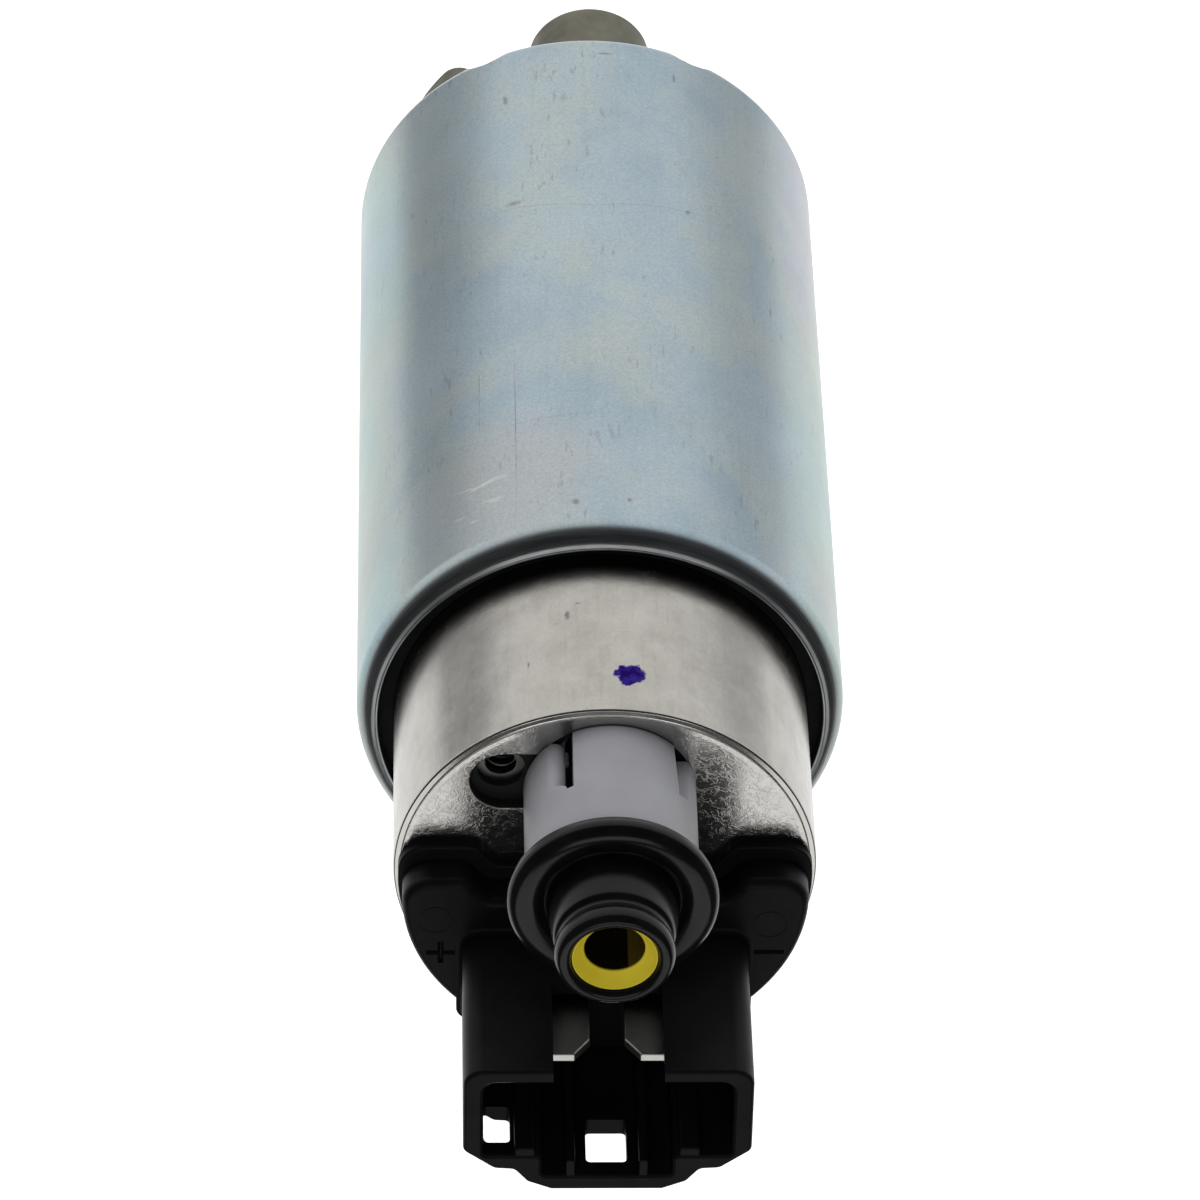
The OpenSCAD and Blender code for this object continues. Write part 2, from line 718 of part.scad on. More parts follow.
module relief_retainer() {
    color("silver") translate([relief_x, relief_y, relief_clip_z]) difference() {
        cylinder(r = relief_bore_r - slip / 2, h = relief_clip_t);
        translate([0, 0, -eps]) cylinder(r = relief_coil[0], h = relief_clip_t + 2 * eps);
    }
}

// Carbon brush at side 1 for +X or -1 for -X
module brush(side) {
    color([0.2, 0.2, 0.22]) translate([side * brush_off, 0, commutator_top_z + slip])
        translate([-brush_w / 2, -brush_d / 2, 0]) cube([brush_w, brush_d, brush_len - slip]);
}

module brush_spring(name, side) {
    color("silver") translate([side * brush_off, 0, 0])
        coil_spring(name, brush_coil, brush_top_z, brush_roof_z);
}

module pigtail(side) {
    braid_r = 0.6;
    color("chocolate") translate([side * brush_off, 0, brush_top_z])
        cylinder(r = braid_r, h = brush_spring_len, $fn = 24);
}

// Suppression coil on its bobbin, with a lead to the brush and one to the terminal
module choke(side) {
    flange_t = 0.8;
    turns = 12;
    pitch = (choke_len - 2 * flange_t) / turns;
    bobbin_r = choke_r - pitch / 2;
    color("chocolate") scale([side, 1, 1]) {
        translate([choke_x, choke_y, choke_z]) {
            cylinder(r = choke_r, h = flange_t);
            translate([0, 0, choke_len - flange_t]) cylinder(r = choke_r, h = flange_t);
            rotate_extrude() union() {
                translate([0, flange_t / 2]) square([bobbin_r, choke_len - flange_t]);
                for (i = [0:turns - 1])
                    translate([bobbin_r, flange_t + pitch * (i + 0.5)])
                        circle(r = pitch / 2 - 0.02, $fn = 16);
            }
        }
        translate([brush_off, 0, lead_z]) rotate([-90, 0, 0])
            cylinder(r = lead_r, h = choke_y, $fn = 24);
        translate([brush_off, 0, brush_roof_z])
            cylinder(r = lead_r, h = lead_z - brush_roof_z, $fn = 24);
        translate([terminal_lead_x, blade_y + blade_t, lead_z]) rotate([-90, 0, 0])
            cylinder(r = lead_r, h = choke_y - blade_y - blade_t, $fn = 24);
    }
}

module magnet(mid_angle) {
    color("dimgray") translate([0, 0, magnet_z])
        ring_sector(magnet_r, sleeve_in_r - slip, mid_angle, magnet_arc, magnet_len);
}

module magnet_clip(mid_angle) {
    strip_t = 0.8;
    strip_inset = 1;
    span = 180 - magnet_arc - 1;
    color("silver") translate([0, 0, magnet_z + strip_inset])
        ring_sector(sleeve_in_r - slip - strip_t, sleeve_in_r - slip, mid_angle, span,
            magnet_len - 2 * strip_inset);
}

module motor_shaft() {
    color("silver") difference() {
        translate([0, 0, impeller_z]) cylinder(r = shaft_r, h = shaft_top_z - impeller_z);
        translate([flat_x, -shaft_r, impeller_z - eps])
            cube([shaft_r, 2 * shaft_r, impeller_t + face_gap + eps]);
    }
}

// Plan of the laminated core, with its winding slots
module core_plan() {
    mouth_w = 1.2;
    difference() {
        circle(r = core_r);
        circle(r = shaft_r + slip / 2);
        for (i = [0:slots - 1]) rotate(360 * i / slots) {
            translate([core_slot_in_r, -core_slot_w / 2])
                square([core_r - core_slot_in_r - tooth_tip, core_slot_w]);
            translate([core_slot_in_r, -mouth_w / 2]) square([core_r, mouth_w]);
        }
    }
}

module armature_core() {
    color("slategray") translate([0, 0, core_z]) linear_extrude(core_len) core_plan();
}

module armature_winding() {
    head_in = 5.2;
    fill_gap = 0.1;
    head_out = core_r - tooth_tip - fill_gap;
    bar_in = core_slot_in_r + fill_gap;
    bar_w = core_slot_w - 2 * fill_gap;
    color("chocolate") {
        for (z = [core_z - winding_head, core_z + core_len]) translate([0, 0, z]) difference() {
            cylinder(r = head_out, h = winding_head);
            translate([0, 0, -eps]) cylinder(r = head_in, h = winding_head + 2 * eps);
        }
        for (i = [0:slots - 1]) rotate([0, 0, 360 * i / slots])
            translate([bar_in, -bar_w / 2, core_z - eps])
                cube([head_out - bar_in, bar_w, core_len + 2 * eps]);
    }
}

module commutator() {
    slit = 0.5;
    slit_depth = 1.4;
    collar_out = 4.2;
    color([0.25, 0.22, 0.2]) difference() {
        union() {
            translate([0, 0, commutator_z]) cylinder(r = commutator_r, h = commutator_t - slit_depth);
            translate([0, 0, commutator_top_z - slit_depth]) linear_extrude(slit_depth) difference() {
                circle(r = commutator_r);
                for (i = [0:slots / 2 - 1]) rotate(360 * (i + 0.5) / slots)
                    translate([-commutator_r, -slit / 2]) square([2 * commutator_r, slit]);
            }
            translate([0, 0, core_z + core_len + slip])
                cylinder(r = collar_out, h = commutator_top_z - core_z - core_len - slip);
        }
        translate([0, 0, core_z]) cylinder(r = shaft_r + slip / 2, h = commutator_top_z);
    }
}

module lower_bearing() {
    bearing_bush(lower_bearing_z);
}

// Half-round flow channel, open towards the impeller's vanes, with its seam off the rim
module flow_channel(z) {
    rotate([0, 0, flow_start]) translate([0, 0, z]) rotate_extrude(angle = flow_span)
        translate([flow_mid_r, 0]) rotate(-90) circle(r = flow_r, $fn = 32);
}

module pump_casing() {
    hub_r = 6.2;
    port_r = 1.2;
    port_back = 10;
    ceiling_z = cover_top_z + pocket_h;
    color("darkgray") difference() {
        union() {
            translate([0, 0, cover_top_z]) cylinder(r = end_in_r - slip, h = casing_h);
            translate([0, 0, cover_top_z]) cylinder(r = hub_r, h = casing_h + hub_len);
        }
        translate([0, 0, cover_top_z - eps])
            cylinder(r = impeller_r + impeller_room, h = pocket_h + eps);
        translate([0, 0, cover_top_z]) cylinder(r = shaft_r + shaft_room, h = casing_h + hub_len);
        translate([0, 0, lower_bearing_z]) cylinder(r = bearing_r + slip / 2, h = bearing_len + eps);
        flow_channel(ceiling_z);
        rotate([0, 0, flow_start + flow_span - port_back]) translate([flow_mid_r, 0, ceiling_z - eps])
            cylinder(r = port_r, h = casing_top_z - ceiling_z + 2 * eps);
    }
}

// Plan of the impeller's vane ring
module vane_plan() {
    vane_t = 1.3;
    vane_len = 2.9;
    pocket_in = impeller_r - vane_len;
    pocket_w = 2 * PI * impeller_r / vanes - vane_t;
    difference() {
        circle(r = impeller_r);
        for (i = [0:vanes - 1]) rotate(360 * i / vanes)
            translate([pocket_in, -pocket_w / 2]) square([impeller_r, pocket_w]);
    }
}

module impeller() {
    web = 0.8;
    vane_h = (impeller_t - web) / 2;
    balance_x = 7;
    balance_r = 1.2;
    color([0.45, 0.33, 0.22]) translate([0, 0, impeller_z]) difference() {
        union() {
            linear_extrude(vane_h) vane_plan();
            translate([0, 0, vane_h]) cylinder(r = impeller_r, h = web);
            translate([0, 0, vane_h + web]) linear_extrude(vane_h) vane_plan();
        }
        difference() {
            translate([0, 0, -eps]) cylinder(r = shaft_r + slip / 2, h = impeller_t + 2 * eps);
            translate([flat_x + slip / 2, -shaft_r, -eps])
                cube([shaft_r, 2 * shaft_r, impeller_t + 2 * eps]);
        }
        for (i = [0:3]) rotate([0, 0, 90 * i + 45])
            translate([balance_x, 0, -eps]) cylinder(r = balance_r, h = impeller_t + 2 * eps);
    }
}

module thrust_pin() {
    color("silver") translate([0, 0, cover_top_z + slip - pin_len]) cylinder(r = pin_r, h = pin_len);
}

// Plan of the curved lug with round ends, set along the inlet cover's rim
module lug_plan() {
    rotate(lug_end) difference() {
        intersection() {
            circle(r = lug_mid_r + lug_w / 2);
            polygon([[0, 0], [3 * sleeve_r, 0], 3 * sleeve_r * [cos(lug_span), sin(lug_span)]]);
        }
        circle(r = lug_mid_r - lug_w / 2);
    }
    for (a = [lug_end, lug_end + lug_span])
        translate(lug_mid_r * [cos(a), sin(a)]) circle(r = lug_w / 2);
}

module inlet_cover() {
    vent_r = 0.7;
    boss_chamfer = 0.5;
    color([0.36, 0.36, 0.3]) difference() {
        union() {
            translate([0, 0, cover_seat_z]) cylinder(r = end_in_r - slip, h = cover_h);
            cylinder(r = inlet_lip_r - slip, h = cover_seat_z + eps);
            translate([boss_x, boss_y, 0]) rotate_extrude() polygon([
                [0, eps], [boss_r, eps], [boss_r, boss_chamfer - boss_len],
                [boss_r - boss_chamfer, -boss_len], [0, -boss_len]]);
            translate([0, 0, -lug_len]) linear_extrude(lug_len + eps) lug_plan();
        }
        translate([boss_x, boss_y, -boss_len - eps])
            cylinder(r = boss_bore_r, h = boss_len + cover_top_z + 2 * eps);
        translate([vent_x, vent_y, -lug_len - eps])
            cylinder(r = vent_r, h = lug_len + cover_top_z + 2 * eps);
        flow_channel(cover_top_z);
        translate([0, 0, cover_top_z + slip - pin_len])
            cylinder(r = pin_r + slip / 2, h = pin_len + eps);
    }
}

housing_sleeve();
sleeve_seal();
end_cup();
connector_housing();
terminal(1);  // terminal_positive
terminal(-1);  // terminal_negative
outlet_fitting();
outlet_seal();
seal_liner();
check_valve();
check_spring();
check_retainer();
brush_holder();
upper_bearing();
relief_ball();
relief_spring();
relief_retainer();
brush(1);  // brush_positive
brush(-1);  // brush_negative
brush_spring("brush, +X", 1);  // brush_spring_positive
brush_spring("brush, -X", -1);  // brush_spring_negative
pigtail(1);  // pigtail_positive
pigtail(-1);  // pigtail_negative
choke(1);  // choke_positive
choke(-1);  // choke_negative
magnet(0);  // magnet_right
magnet(180);  // magnet_left
magnet_clip(-90);  // magnet_clip_front
magnet_clip(90);  // magnet_clip_rear
motor_shaft();
armature_core();
armature_winding();
commutator();
lower_bearing();
pump_casing();
impeller();
thrust_pin();
inlet_cover();
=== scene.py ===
import bpy
import bmesh
import math
from mathutils import Matrix, Vector


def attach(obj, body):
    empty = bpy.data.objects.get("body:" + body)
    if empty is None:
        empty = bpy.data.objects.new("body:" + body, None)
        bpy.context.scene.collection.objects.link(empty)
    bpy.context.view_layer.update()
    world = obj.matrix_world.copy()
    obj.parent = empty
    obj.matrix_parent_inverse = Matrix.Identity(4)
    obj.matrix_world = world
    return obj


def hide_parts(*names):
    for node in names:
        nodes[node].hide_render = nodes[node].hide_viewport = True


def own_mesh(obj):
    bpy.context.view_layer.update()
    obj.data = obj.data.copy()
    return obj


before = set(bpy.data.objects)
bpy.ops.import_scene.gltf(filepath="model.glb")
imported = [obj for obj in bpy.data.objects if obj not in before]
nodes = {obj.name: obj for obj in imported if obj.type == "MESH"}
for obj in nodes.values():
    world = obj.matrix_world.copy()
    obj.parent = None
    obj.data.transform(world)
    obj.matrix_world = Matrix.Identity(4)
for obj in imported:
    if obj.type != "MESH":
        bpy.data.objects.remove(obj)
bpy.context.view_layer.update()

# Sizes of the pump in millimetres, the same as in the OpenSCAD source
MM = 0.001
SLEEVE_R, SLEEVE_LEN = 19.0, 64.7
INLET_ROUND, CRIMP = 1.25, 1.1
SLEEVE_IN_R, END_IN_R = SLEEVE_R - 1.6, SLEEVE_R - CRIMP
LIP_R, INLET_LIP_R = END_IN_R - 0.6, END_IN_R - 1.8
COVER_SEAT, RING_TOP = CRIMP, SLEEVE_LEN - CRIMP
COVER_TOP = COVER_SEAT + 6.4
CASING_TOP = COVER_TOP + 7.1
FOOT_Z = RING_TOP - 3.6 - 1.0
HOLDER_Z = FOOT_Z - 1.2
CUP_R = END_IN_R - 1.8
PLATE_Z = SLEEVE_LEN + 17.1
WINDOW_X, WINDOW_Y, WINDOW_R = 9.5, 1.5, 13.9

OUT_X, OUT_Y, OUT_R, OUT_H = -0.2, -8.35, 6.5, 11.05
SPIGOT_Z = PLATE_Z - 9.6
SEAT_Z = SPIGOT_Z + 3.8
RETAINER_Z = SEAT_Z + 10.5
SEAL_R, SEAL_Z = 7.88, PLATE_Z + OUT_H + 0.05
SEAL_TOP = SEAL_Z + 2.2 + 5.65

BASE_R, BASE_BACK, WING_ROUND = 15.75, 1.3, 2.3
WING_FRONT, WING_SIDE, MIDDLE_FRONT = 3.3, 8.75, -1.33
BASE_TOP = PLATE_Z + 3.5
MOUTH, FLOOR, PLUG_Z = BASE_TOP + 15.2, BASE_TOP + 1.2, 77.3
SHROUD_X, SHROUD_FRONT = 10.85, 3.07
BLADE_X, BLADE_W, BLADE_T, BLADE_Y = 3.7, 4.8, 0.8, 5.4
BLADE_FOOT, TIP_Z = 75.55, MOUTH - 4.3

BOSS_X, BOSS_Y, BOSS_R, BOSS_LEN = -0.3, -10.3, 5.1, 9.0
LUG_W, LUG_LEN = 3.5, 7.0

BRUSH_X, BRUSH_TOP, BRUSH_ROOF = 8.2, 65.9, 75.0
BALL_TOP, RELIEF_CLIP = 74.668, 79.5

# How steeply the fine slopes on the rims of the sleeve and the cup run down
RIM_SLOPE = math.tan(math.radians(20))


# Outlines
def point_at(r, angle):
    """A point at a distance from the axis, by its angle in degrees."""
    return r * math.cos(math.radians(angle)), r * math.sin(math.radians(angle))


def arc(cx, cy, r, a0, a1, n=8, tall=1.0):
    """Points along an arc between two angles in degrees, made taller by a factor."""
    return [(cx + r * math.cos(math.radians(a0 + (a1 - a0) * i / n)),
             cy + tall * r * math.sin(math.radians(a0 + (a1 - a0) * i / n))) for i in range(n + 1)]


def rounded(points, radii, n=5):
    """A closed outline with each corner rounded to its own radius."""
    out, count = [], len(points)
    for i, p in enumerate(points):
        r = radii[i] if isinstance(radii, (list, tuple)) else radii
        p = Vector(p)
        a = Vector(points[i - 1]) - p
        b = Vector(points[(i + 1) % count]) - p
        turn = a.angle(b)
        if r <= 0 or abs(math.pi - turn) < 1e-3:
            out.append(tuple(p))
            continue
        reach = min(r / math.tan(turn / 2), 0.49 * a.length, 0.49 * b.length)
        r = reach * math.tan(turn / 2)
        start, end = p + a.normalized() * reach, p + b.normalized() * reach
        middle = p + (a.normalized() + b.normalized()).normalized() * (r / math.sin(turn / 2))
        u, v = start - middle, end - middle
        span = u.angle_signed(v)
        for k in range(n + 1):
            s, c = math.sin(-span * k / n), math.cos(-span * k / n)
            out.append((middle.x + u.x * c - u.y * s, middle.y + u.x * s + u.y * c))
    return out


def distinct(loop):
    """A closed outline without the points that repeat the one before."""
    return [p for i, p in enumerate(loop) if (Vector(p) - Vector(loop[i - 1])).length > 1e-3]


def inset(loop, d):
    """A closed outline moved inwards by d, or outwards where d is negative."""
    out, count = [], len(loop)
    for i in range(count):
        a, p, b = Vector(loop[i - 1]), Vector(loop[i]), Vector(loop[(i + 1) % count])
        u, v = (p - a), (b - p)
        if u.length < 1e-9 or v.length < 1e-9:
            u = v = b - a
        nu, nv = Vector((-u.y, u.x)).normalized(), Vector((-v.y, v.x)).normalized()
        m = (nu + nv)
        m = m.normalized() if m.length > 1e-6 else nu
        out.append(tuple(p + m * d / max(0.5, m.dot(nu))))
    return out


def mirrored(half):
    """A closed outline from its right half, which runs from front to back."""
    return half + [(-x, y) for x, y in reversed(half) if x > 1e-6]


# Meshes
def new_object(name, verts, faces, sharp=35):
    """A piece drawn in millimetres; place() brings it to metres."""
    mesh = bpy.data.meshes.new(name)
    mesh.from_pydata(verts, [], faces)
    obj = bpy.data.objects.new(name, mesh)
    bpy.context.scene.collection.objects.link(obj)
    finish_mesh(obj, sharp)
    return obj


def finish_mesh(obj, sharp=35):
    """Joins points that coincide and shades smoothly but for edges above an angle in degrees."""
    mesh = obj.data
    bm = bmesh.new()
    bm.from_mesh(mesh)
    bmesh.ops.remove_doubles(bm, verts=bm.verts, dist=2e-4)
    bmesh.ops.recalc_face_normals(bm, faces=bm.faces)
    bm.to_mesh(mesh)
    bm.free()
    mesh.shade_smooth()
    mesh.set_sharp_from_angle(angle=math.radians(sharp))


def lathe(name, profile, cx=0.0, cy=0.0, n=128, closed=True, sharp=35, turn=None):
    """A profile of (radius, height) revolved about an upright axis.

    turn is a function that moves a point of the profile by its angle.
    """
    verts, faces, rows = [], [], []
    for r, z in profile:
        if r < 1e-6:
            rows.append([len(verts)])
            verts.append((cx, cy, z))
            continue
        row = []
        for i in range(n):
            a = 2 * math.pi * i / n
            rr, zz = (r, z) if turn is None else turn(r, z, a)
            row.append(len(verts))
            verts.append((cx + rr * math.cos(a), cy + rr * math.sin(a), zz))
        rows.append(row)
    pairs = list(zip(rows, rows[1:])) + ([(rows[-1], rows[0])] if closed else [])
    for a, b in pairs:
        if len(a) == 1 and len(b) == 1:
            continue
        for i in range(n):
            j = (i + 1) % n
            if len(a) == 1:
                faces.append((a[0], b[j], b[i]))
            elif len(b) == 1:
                faces.append((a[i], a[j], b[0]))
            else:
                faces.append((a[i], a[j], b[j], b[i]))
    return new_object(name, verts, faces, sharp)


def loft(name, rings, along="z"):
    """A closed skin over outlines of equal length, each an (outline, level) pair."""
    verts, faces = [], []
    n = len(rings[0][0])
    for loop, level in rings:
        verts += [(a, b, level) if along == "z" else (a, level, b) for a, b in loop]
    for k in range(len(rings) - 1):
        for i in range(n):
            j = (i + 1) % n
            faces.append((k * n + i, k * n + j, (k + 1) * n + j, (k + 1) * n + i))
    faces.append(tuple(reversed(range(n))))
    faces.append(tuple(range((len(rings) - 1) * n, len(rings) * n)))
    return new_object(name, verts, faces)


def slab(name, loop, z0, z1, low=0.0, high=0.0, n=4, along="z"):
    """A plate of one outline with its low and high edges rounded by those radii."""
    rings, loop = [], distinct(loop)
    if low:
        rings += [(inset(loop, low * (1 - math.sin(math.pi / 2 * k / n))),
                   z0 + low * (1 - math.cos(math.pi / 2 * k / n))) for k in range(n + 1)]
    else:
        rings.append((loop, z0))
    if high:
        rings += [(inset(loop, high * (1 - math.cos(math.pi / 2 * k / n))),
                   z1 - high * (1 - math.sin(math.pi / 2 * k / n))) for k in range(n + 1)]
    else:
        rings.append((loop, z1))
    return loft(name, rings, along)


def block(name, x0, x1, y0, y1, z0, z1, r=0.0, high=0.0, along="z"):
    """A box with its corners rounded by r in the plan square to z, or to y where it runs along y."""
    a0, a1, lo, hi = (y0, y1, z0, z1) if along == "z" else (z0, z1, y0, y1)
    corners = [(x0, a0), (x1, a0), (x1, a1), (x0, a1)]
    return slab(name, rounded(corners, r) if r else corners, lo, hi, high=high, along=along)


def tube(name, line, radius, sides=12):
    """A round bar swept along a line of points."""
    points = [Vector(p) for p in line]
    verts, faces = [], []
    for i, p in enumerate(points):
        ahead = (points[min(i + 1, len(points) - 1)] - points[max(i - 1, 0)]).normalized()
        side = ahead.cross(Vector((0, 0, 1))).normalized() if abs(ahead.z) < 0.99 else Vector((1, 0, 0))
        up = side.cross(ahead)
        for k in range(sides):
            a = 2 * math.pi * k / sides
            verts.append(tuple(p + radius * (math.cos(a) * side + math.sin(a) * up)))
    for i in range(len(points) - 1):
        for k in range(sides):
            j = (k + 1) % sides
            faces.append((i * sides + k, i * sides + j, (i + 1) * sides + j, (i + 1) * sides + k))
    faces.append(tuple(range(sides)))
    faces.append(tuple((len(points) - 1) * sides + k for k in reversed(range(sides))))
    return new_object(name, verts, faces, 60)


def apply_modifiers(obj):
    """Takes the mesh that the modifiers make in place of the object's own."""
    graph = bpy.context.evaluated_depsgraph_get()
    mesh = bpy.data.meshes.new_from_object(obj.evaluated_get(graph))
    old = obj.data
    obj.modifiers.clear()
    obj.data = mesh
    bpy.data.meshes.remove(old)


def combine(obj, others, how):
    """Joins the others to obj (UNION), or cuts them out of it (DIFFERENCE), one after another."""
    for other in others:
        m = obj.modifiers.new("cut", "BOOLEAN")
        m.operation, m.object, m.solver = how, other, "EXACT"
        apply_modifiers(obj)
        finish_mesh(obj)
        bpy.data.objects.remove(other)
    return obj


def even_shading(obj):
    """Keeps flat faces flat to the eye beside their rounded edges."""
    m = obj.modifiers.new("even", "WEIGHTED_NORMAL")
    m.mode, m.weight, m.keep_sharp = "FACE_AREA", 90, True
    apply_modifiers(obj)
    return obj


def place(obj, material, body, slot, *replaced):
    """Brings a piece to metres, paints it, gives it its body and hides the nodes it replaces; its slot is not
    used.
    """
    obj.data.transform(Matrix.Scale(MM, 4))
    obj.data.materials.clear()
    obj.data.materials.append(material)
    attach(obj, body)
    if replaced:
        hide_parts(*replaced)
    return obj


# Materials
class Paint:
    """A node material on one Principled shader, built up from noise in the object's own space."""

    def __init__(self, name, color, metallic, rough, **sockets):
        self.mat = bpy.data.materials.new(name)
        self.mat.use_nodes = True
        self.tree = self.mat.node_tree
        self.bsdf = self.tree.nodes["Principled BSDF"]
        self.bsdf.inputs["Base Color"].default_value = (*color, 1)
        self.bsdf.inputs["Metallic"].default_value = metallic
        self.bsdf.inputs["Roughness"].default_value = rough
        for key, value in sockets.items():
            self.bsdf.inputs[key.replace("_", " ")].default_value = value
        self.coords = self.tree.nodes.new("ShaderNodeTexCoord").outputs["Object"]

    def node(self, kind, **values):
        n = self.tree.nodes.new(kind)
        for key, value in values.items():
            setattr(n, key, value)
        return n

    def link(self, a, b):
        self.tree.links.new(a, b)

    def scaled(self, scale):
        m = self.node("ShaderNodeMapping")
        m.inputs["Scale"].default_value = scale
        self.link(self.coords, m.inputs["Vector"])
        return m.outputs["Vector"]

    def noise(self, size_mm, detail=4.0, rough=0.55, stretch=(1, 1, 1), bend=0.0):
        """Noise whose blotches are about size_mm across, longer along an axis with a small stretch."""
        n = self.node("ShaderNodeTexNoise")
        n.inputs["Scale"].default_value = 1.0
        n.inputs["Detail"].default_value = detail
        n.inputs["Roughness"].default_value = rough
        n.inputs["Distortion"].default_value = bend
        k = 1000.0 / size_mm
        self.link(self.scaled(tuple(k * s for s in stretch)), n.inputs["Vector"])
        return n.outputs["Fac"]

    def ramp(self, value, stops):
        """A colour ramp from stops, each a position with a grey or a colour."""
        r = self.node("ShaderNodeValToRGB")
        e = r.color_ramp.elements
        while len(e) < len(stops):
            e.new(0.5)
        for item, (at, c) in zip(e, stops):
            item.position = at
            item.color = (c, c, c, 1) if isinstance(c, (int, float)) else (*c, 1)
        self.link(value, r.inputs["Fac"])
        return r.outputs["Color"]

    def math(self, how, a, b=None, clamp=False):
        m = self.node("ShaderNodeMath", operation=how, use_clamp=clamp)
        for i, v in enumerate((a, b)):
            if v is None:
                continue
            if isinstance(v, (int, float)):
                m.inputs[i].default_value = v
            else:
                self.link(v, m.inputs[i])
        return m.outputs[0]

    def times(self, a, b):
        return self.math("MULTIPLY", a, b)

    def less(self, a, b):
        return self.math("SUBTRACT", a, b)

    def rising(self, value, start, slope):
        """0 up to a start, and then rising by a slope to 1."""
        return self.math("MULTIPLY", self.less(value, start), slope, clamp=True)

    def falling(self, value, end, slope):
        """1, and then falling by a slope to 0 at an end."""
        return self.math("MULTIPLY", self.less(end, value), slope, clamp=True)

    def mix(self, fac, a, b, how="MIX"):
        m = self.node("ShaderNodeMix", data_type="RGBA", blend_type=how)
        for socket, v in ((m.inputs[0], fac), (m.inputs[6], a), (m.inputs[7], b)):
            if isinstance(v, (int, float)):
                socket.default_value = v
            elif isinstance(v, tuple):
                socket.default_value = (*v, 1)
            else:
                self.link(v, socket)
        return m.outputs[2]

    def near(self, point_mm, radius_mm, soft=0.25, wobble=0.0, stretch=(1, 1, 1)):
        """1 near a point, fading to 0 at the radius; longer along an axis with a small stretch."""
        v = self.node("ShaderNodeVectorMath", operation="DISTANCE")
        self.link(self.scaled(stretch), v.inputs[0])
        v.inputs[1].default_value = tuple(c * k * MM for c, k in zip(point_mm, stretch))
        d = self.times(v.outputs["Value"], 1000.0)
        if wobble:
            d = self.math("ADD", d, self.times(self.less(self.noise(0.9, 2), 0.5), wobble))
        return self.falling(d, radius_mm, 1.0 / soft)

    def axis(self, which):
        """The place along X, Y or Z, in millimetres."""
        s = self.node("ShaderNodeSeparateXYZ")
        self.link(self.coords, s.inputs[0])
        return self.times(s.outputs[which], 1000.0)

    def use_color(self, value):
        self.link(value, self.bsdf.inputs["Base Color"])

    def use_rough(self, value, low, high):
        r = self.node("ShaderNodeMapRange")
        r.inputs["To Min"].default_value, r.inputs["To Max"].default_value = low, high
        self.link(value, r.inputs["Value"])
        self.link(r.outputs["Result"], self.bsdf.inputs["Roughness"])

    def bump(self, value, depth_mm, after=None):
        b = self.node("ShaderNodeBump")
        b.inputs["Strength"].default_value = 1.0
        b.inputs["Distance"].default_value = depth_mm * MM
        self.link(value, b.inputs["Height"])
        if after is not None:
            self.link(after, b.inputs["Normal"])
        return b.outputs["Normal"]

    def use_normal(self, value):
        self.link(value, self.bsdf.inputs["Normal"])


def shade(color, k):
    return tuple(max(0.0, min(1.0, c * k)) for c in color)


def plain(name, color, metallic, rough, grain_mm=0.6, vary=0.12, depth=0.01, **sockets):
    """A finish with fine grain, a little uneven colour and gloss."""
    p = Paint(name, color, metallic, rough, **sockets)
    broad, fine = p.noise(grain_mm * 12, 3), p.noise(grain_mm, 3)
    p.use_color(p.ramp(broad, [(0.25, shade(color, 1 - vary)), (0.75, shade(color, 1 + vary))]))
    p.use_rough(fine, rough * 0.85, min(1.0, rough * 1.18))
    p.use_normal(p.bump(fine, depth))
    return p.mat


# Dark scuffs on the sleeve and spots on the cup, each a point, a radius and a stretch
SCUFFS = (((6.52, -17.85, 21.72), 0.5, (0.6, 0.6, 1.5)), ((7.02, -17.66, 7.33), 0.35, (1.4, 1.4, 0.5)),
          ((-7.6, -17.41, 22.2), 0.3, (1, 1, 1)), ((-7.0, -17.66, 4.2), 0.22, (1.6, 1.6, 0.3)),
          ((2.2, -18.87, 60.6), 0.35, (1, 1, 0.8)), ((-2.0, -18.9, 60.4), 0.25, (1, 1, 0.8)),
          ((-1.2, -18.96, 2.6), 0.3, (0.3, 0.3, 2)), ((6.62, -17.81, 50), 0.06, (1, 1, 0.006)),
          ((9.4, -16.5, 45), 0.05, (1, 1, 0.01)), ((-14.2, -12.6, 29), 0.1, (1, 1, 0.05)))
SPOTS = (((2.9, -15.84, 70.4), 0.2, (1, 1, 0.4)), ((3.9, -15.62, 71.2), 0.1, (0.3, 0.3, 1)),
         ((2.0, -15.98, 69.2), 0.1, (0.3, 0.3, 0.6)), ((5.9, -14.98, 75.2), 0.12, (1, 1, 0.35)))


def zinc_film_and_sheen(p, side):
    """Blue-grey with warm clouds and a rosy patch, and a painted iridescent sheen, cyan and green, towards
    both flanks.
    """
    color = p.ramp(p.noise(12, 5, 0.6, (1, 1, 0.7)),
                   [(0.30, (0.265, 0.335, 0.375)), (0.5, (0.315, 0.385, 0.425)), (0.72, (0.36, 0.43, 0.455))])
    warm = p.ramp(p.noise(8, 4, 0.6, (1, 1, 0.8), 0.4), [(0.44, 0.0), (0.68, 0.6)])
    color = p.mix(warm, color, (0.40, 0.425, 0.395))
    rosy = p.near((7.5, -17.5, 56), 9, 5, 4)
    color = p.mix(p.times(rosy, 0.5), color, (0.40, 0.385, 0.375))
    # painted sheen: the iridescent cyan and green tint is laid on both flanks by position
    flank_sheen = p.rising(side, 14.2, 1 / 3.6)
    painted_sheen_tint = p.ramp(p.noise(15, 2, 0.5, (1, 1, 0.5), 0.6),
                  [(0.32, (0.28, 0.28, 0.34)), (0.42, (0.28, 0.33, 0.27)), (0.53, (0.22, 0.37, 0.32)),
                   (0.64, (0.21, 0.35, 0.37)), (0.76, (0.25, 0.31, 0.39))])
    return p.mix(p.times(flank_sheen, 0.62), color, painted_sheen_tint)


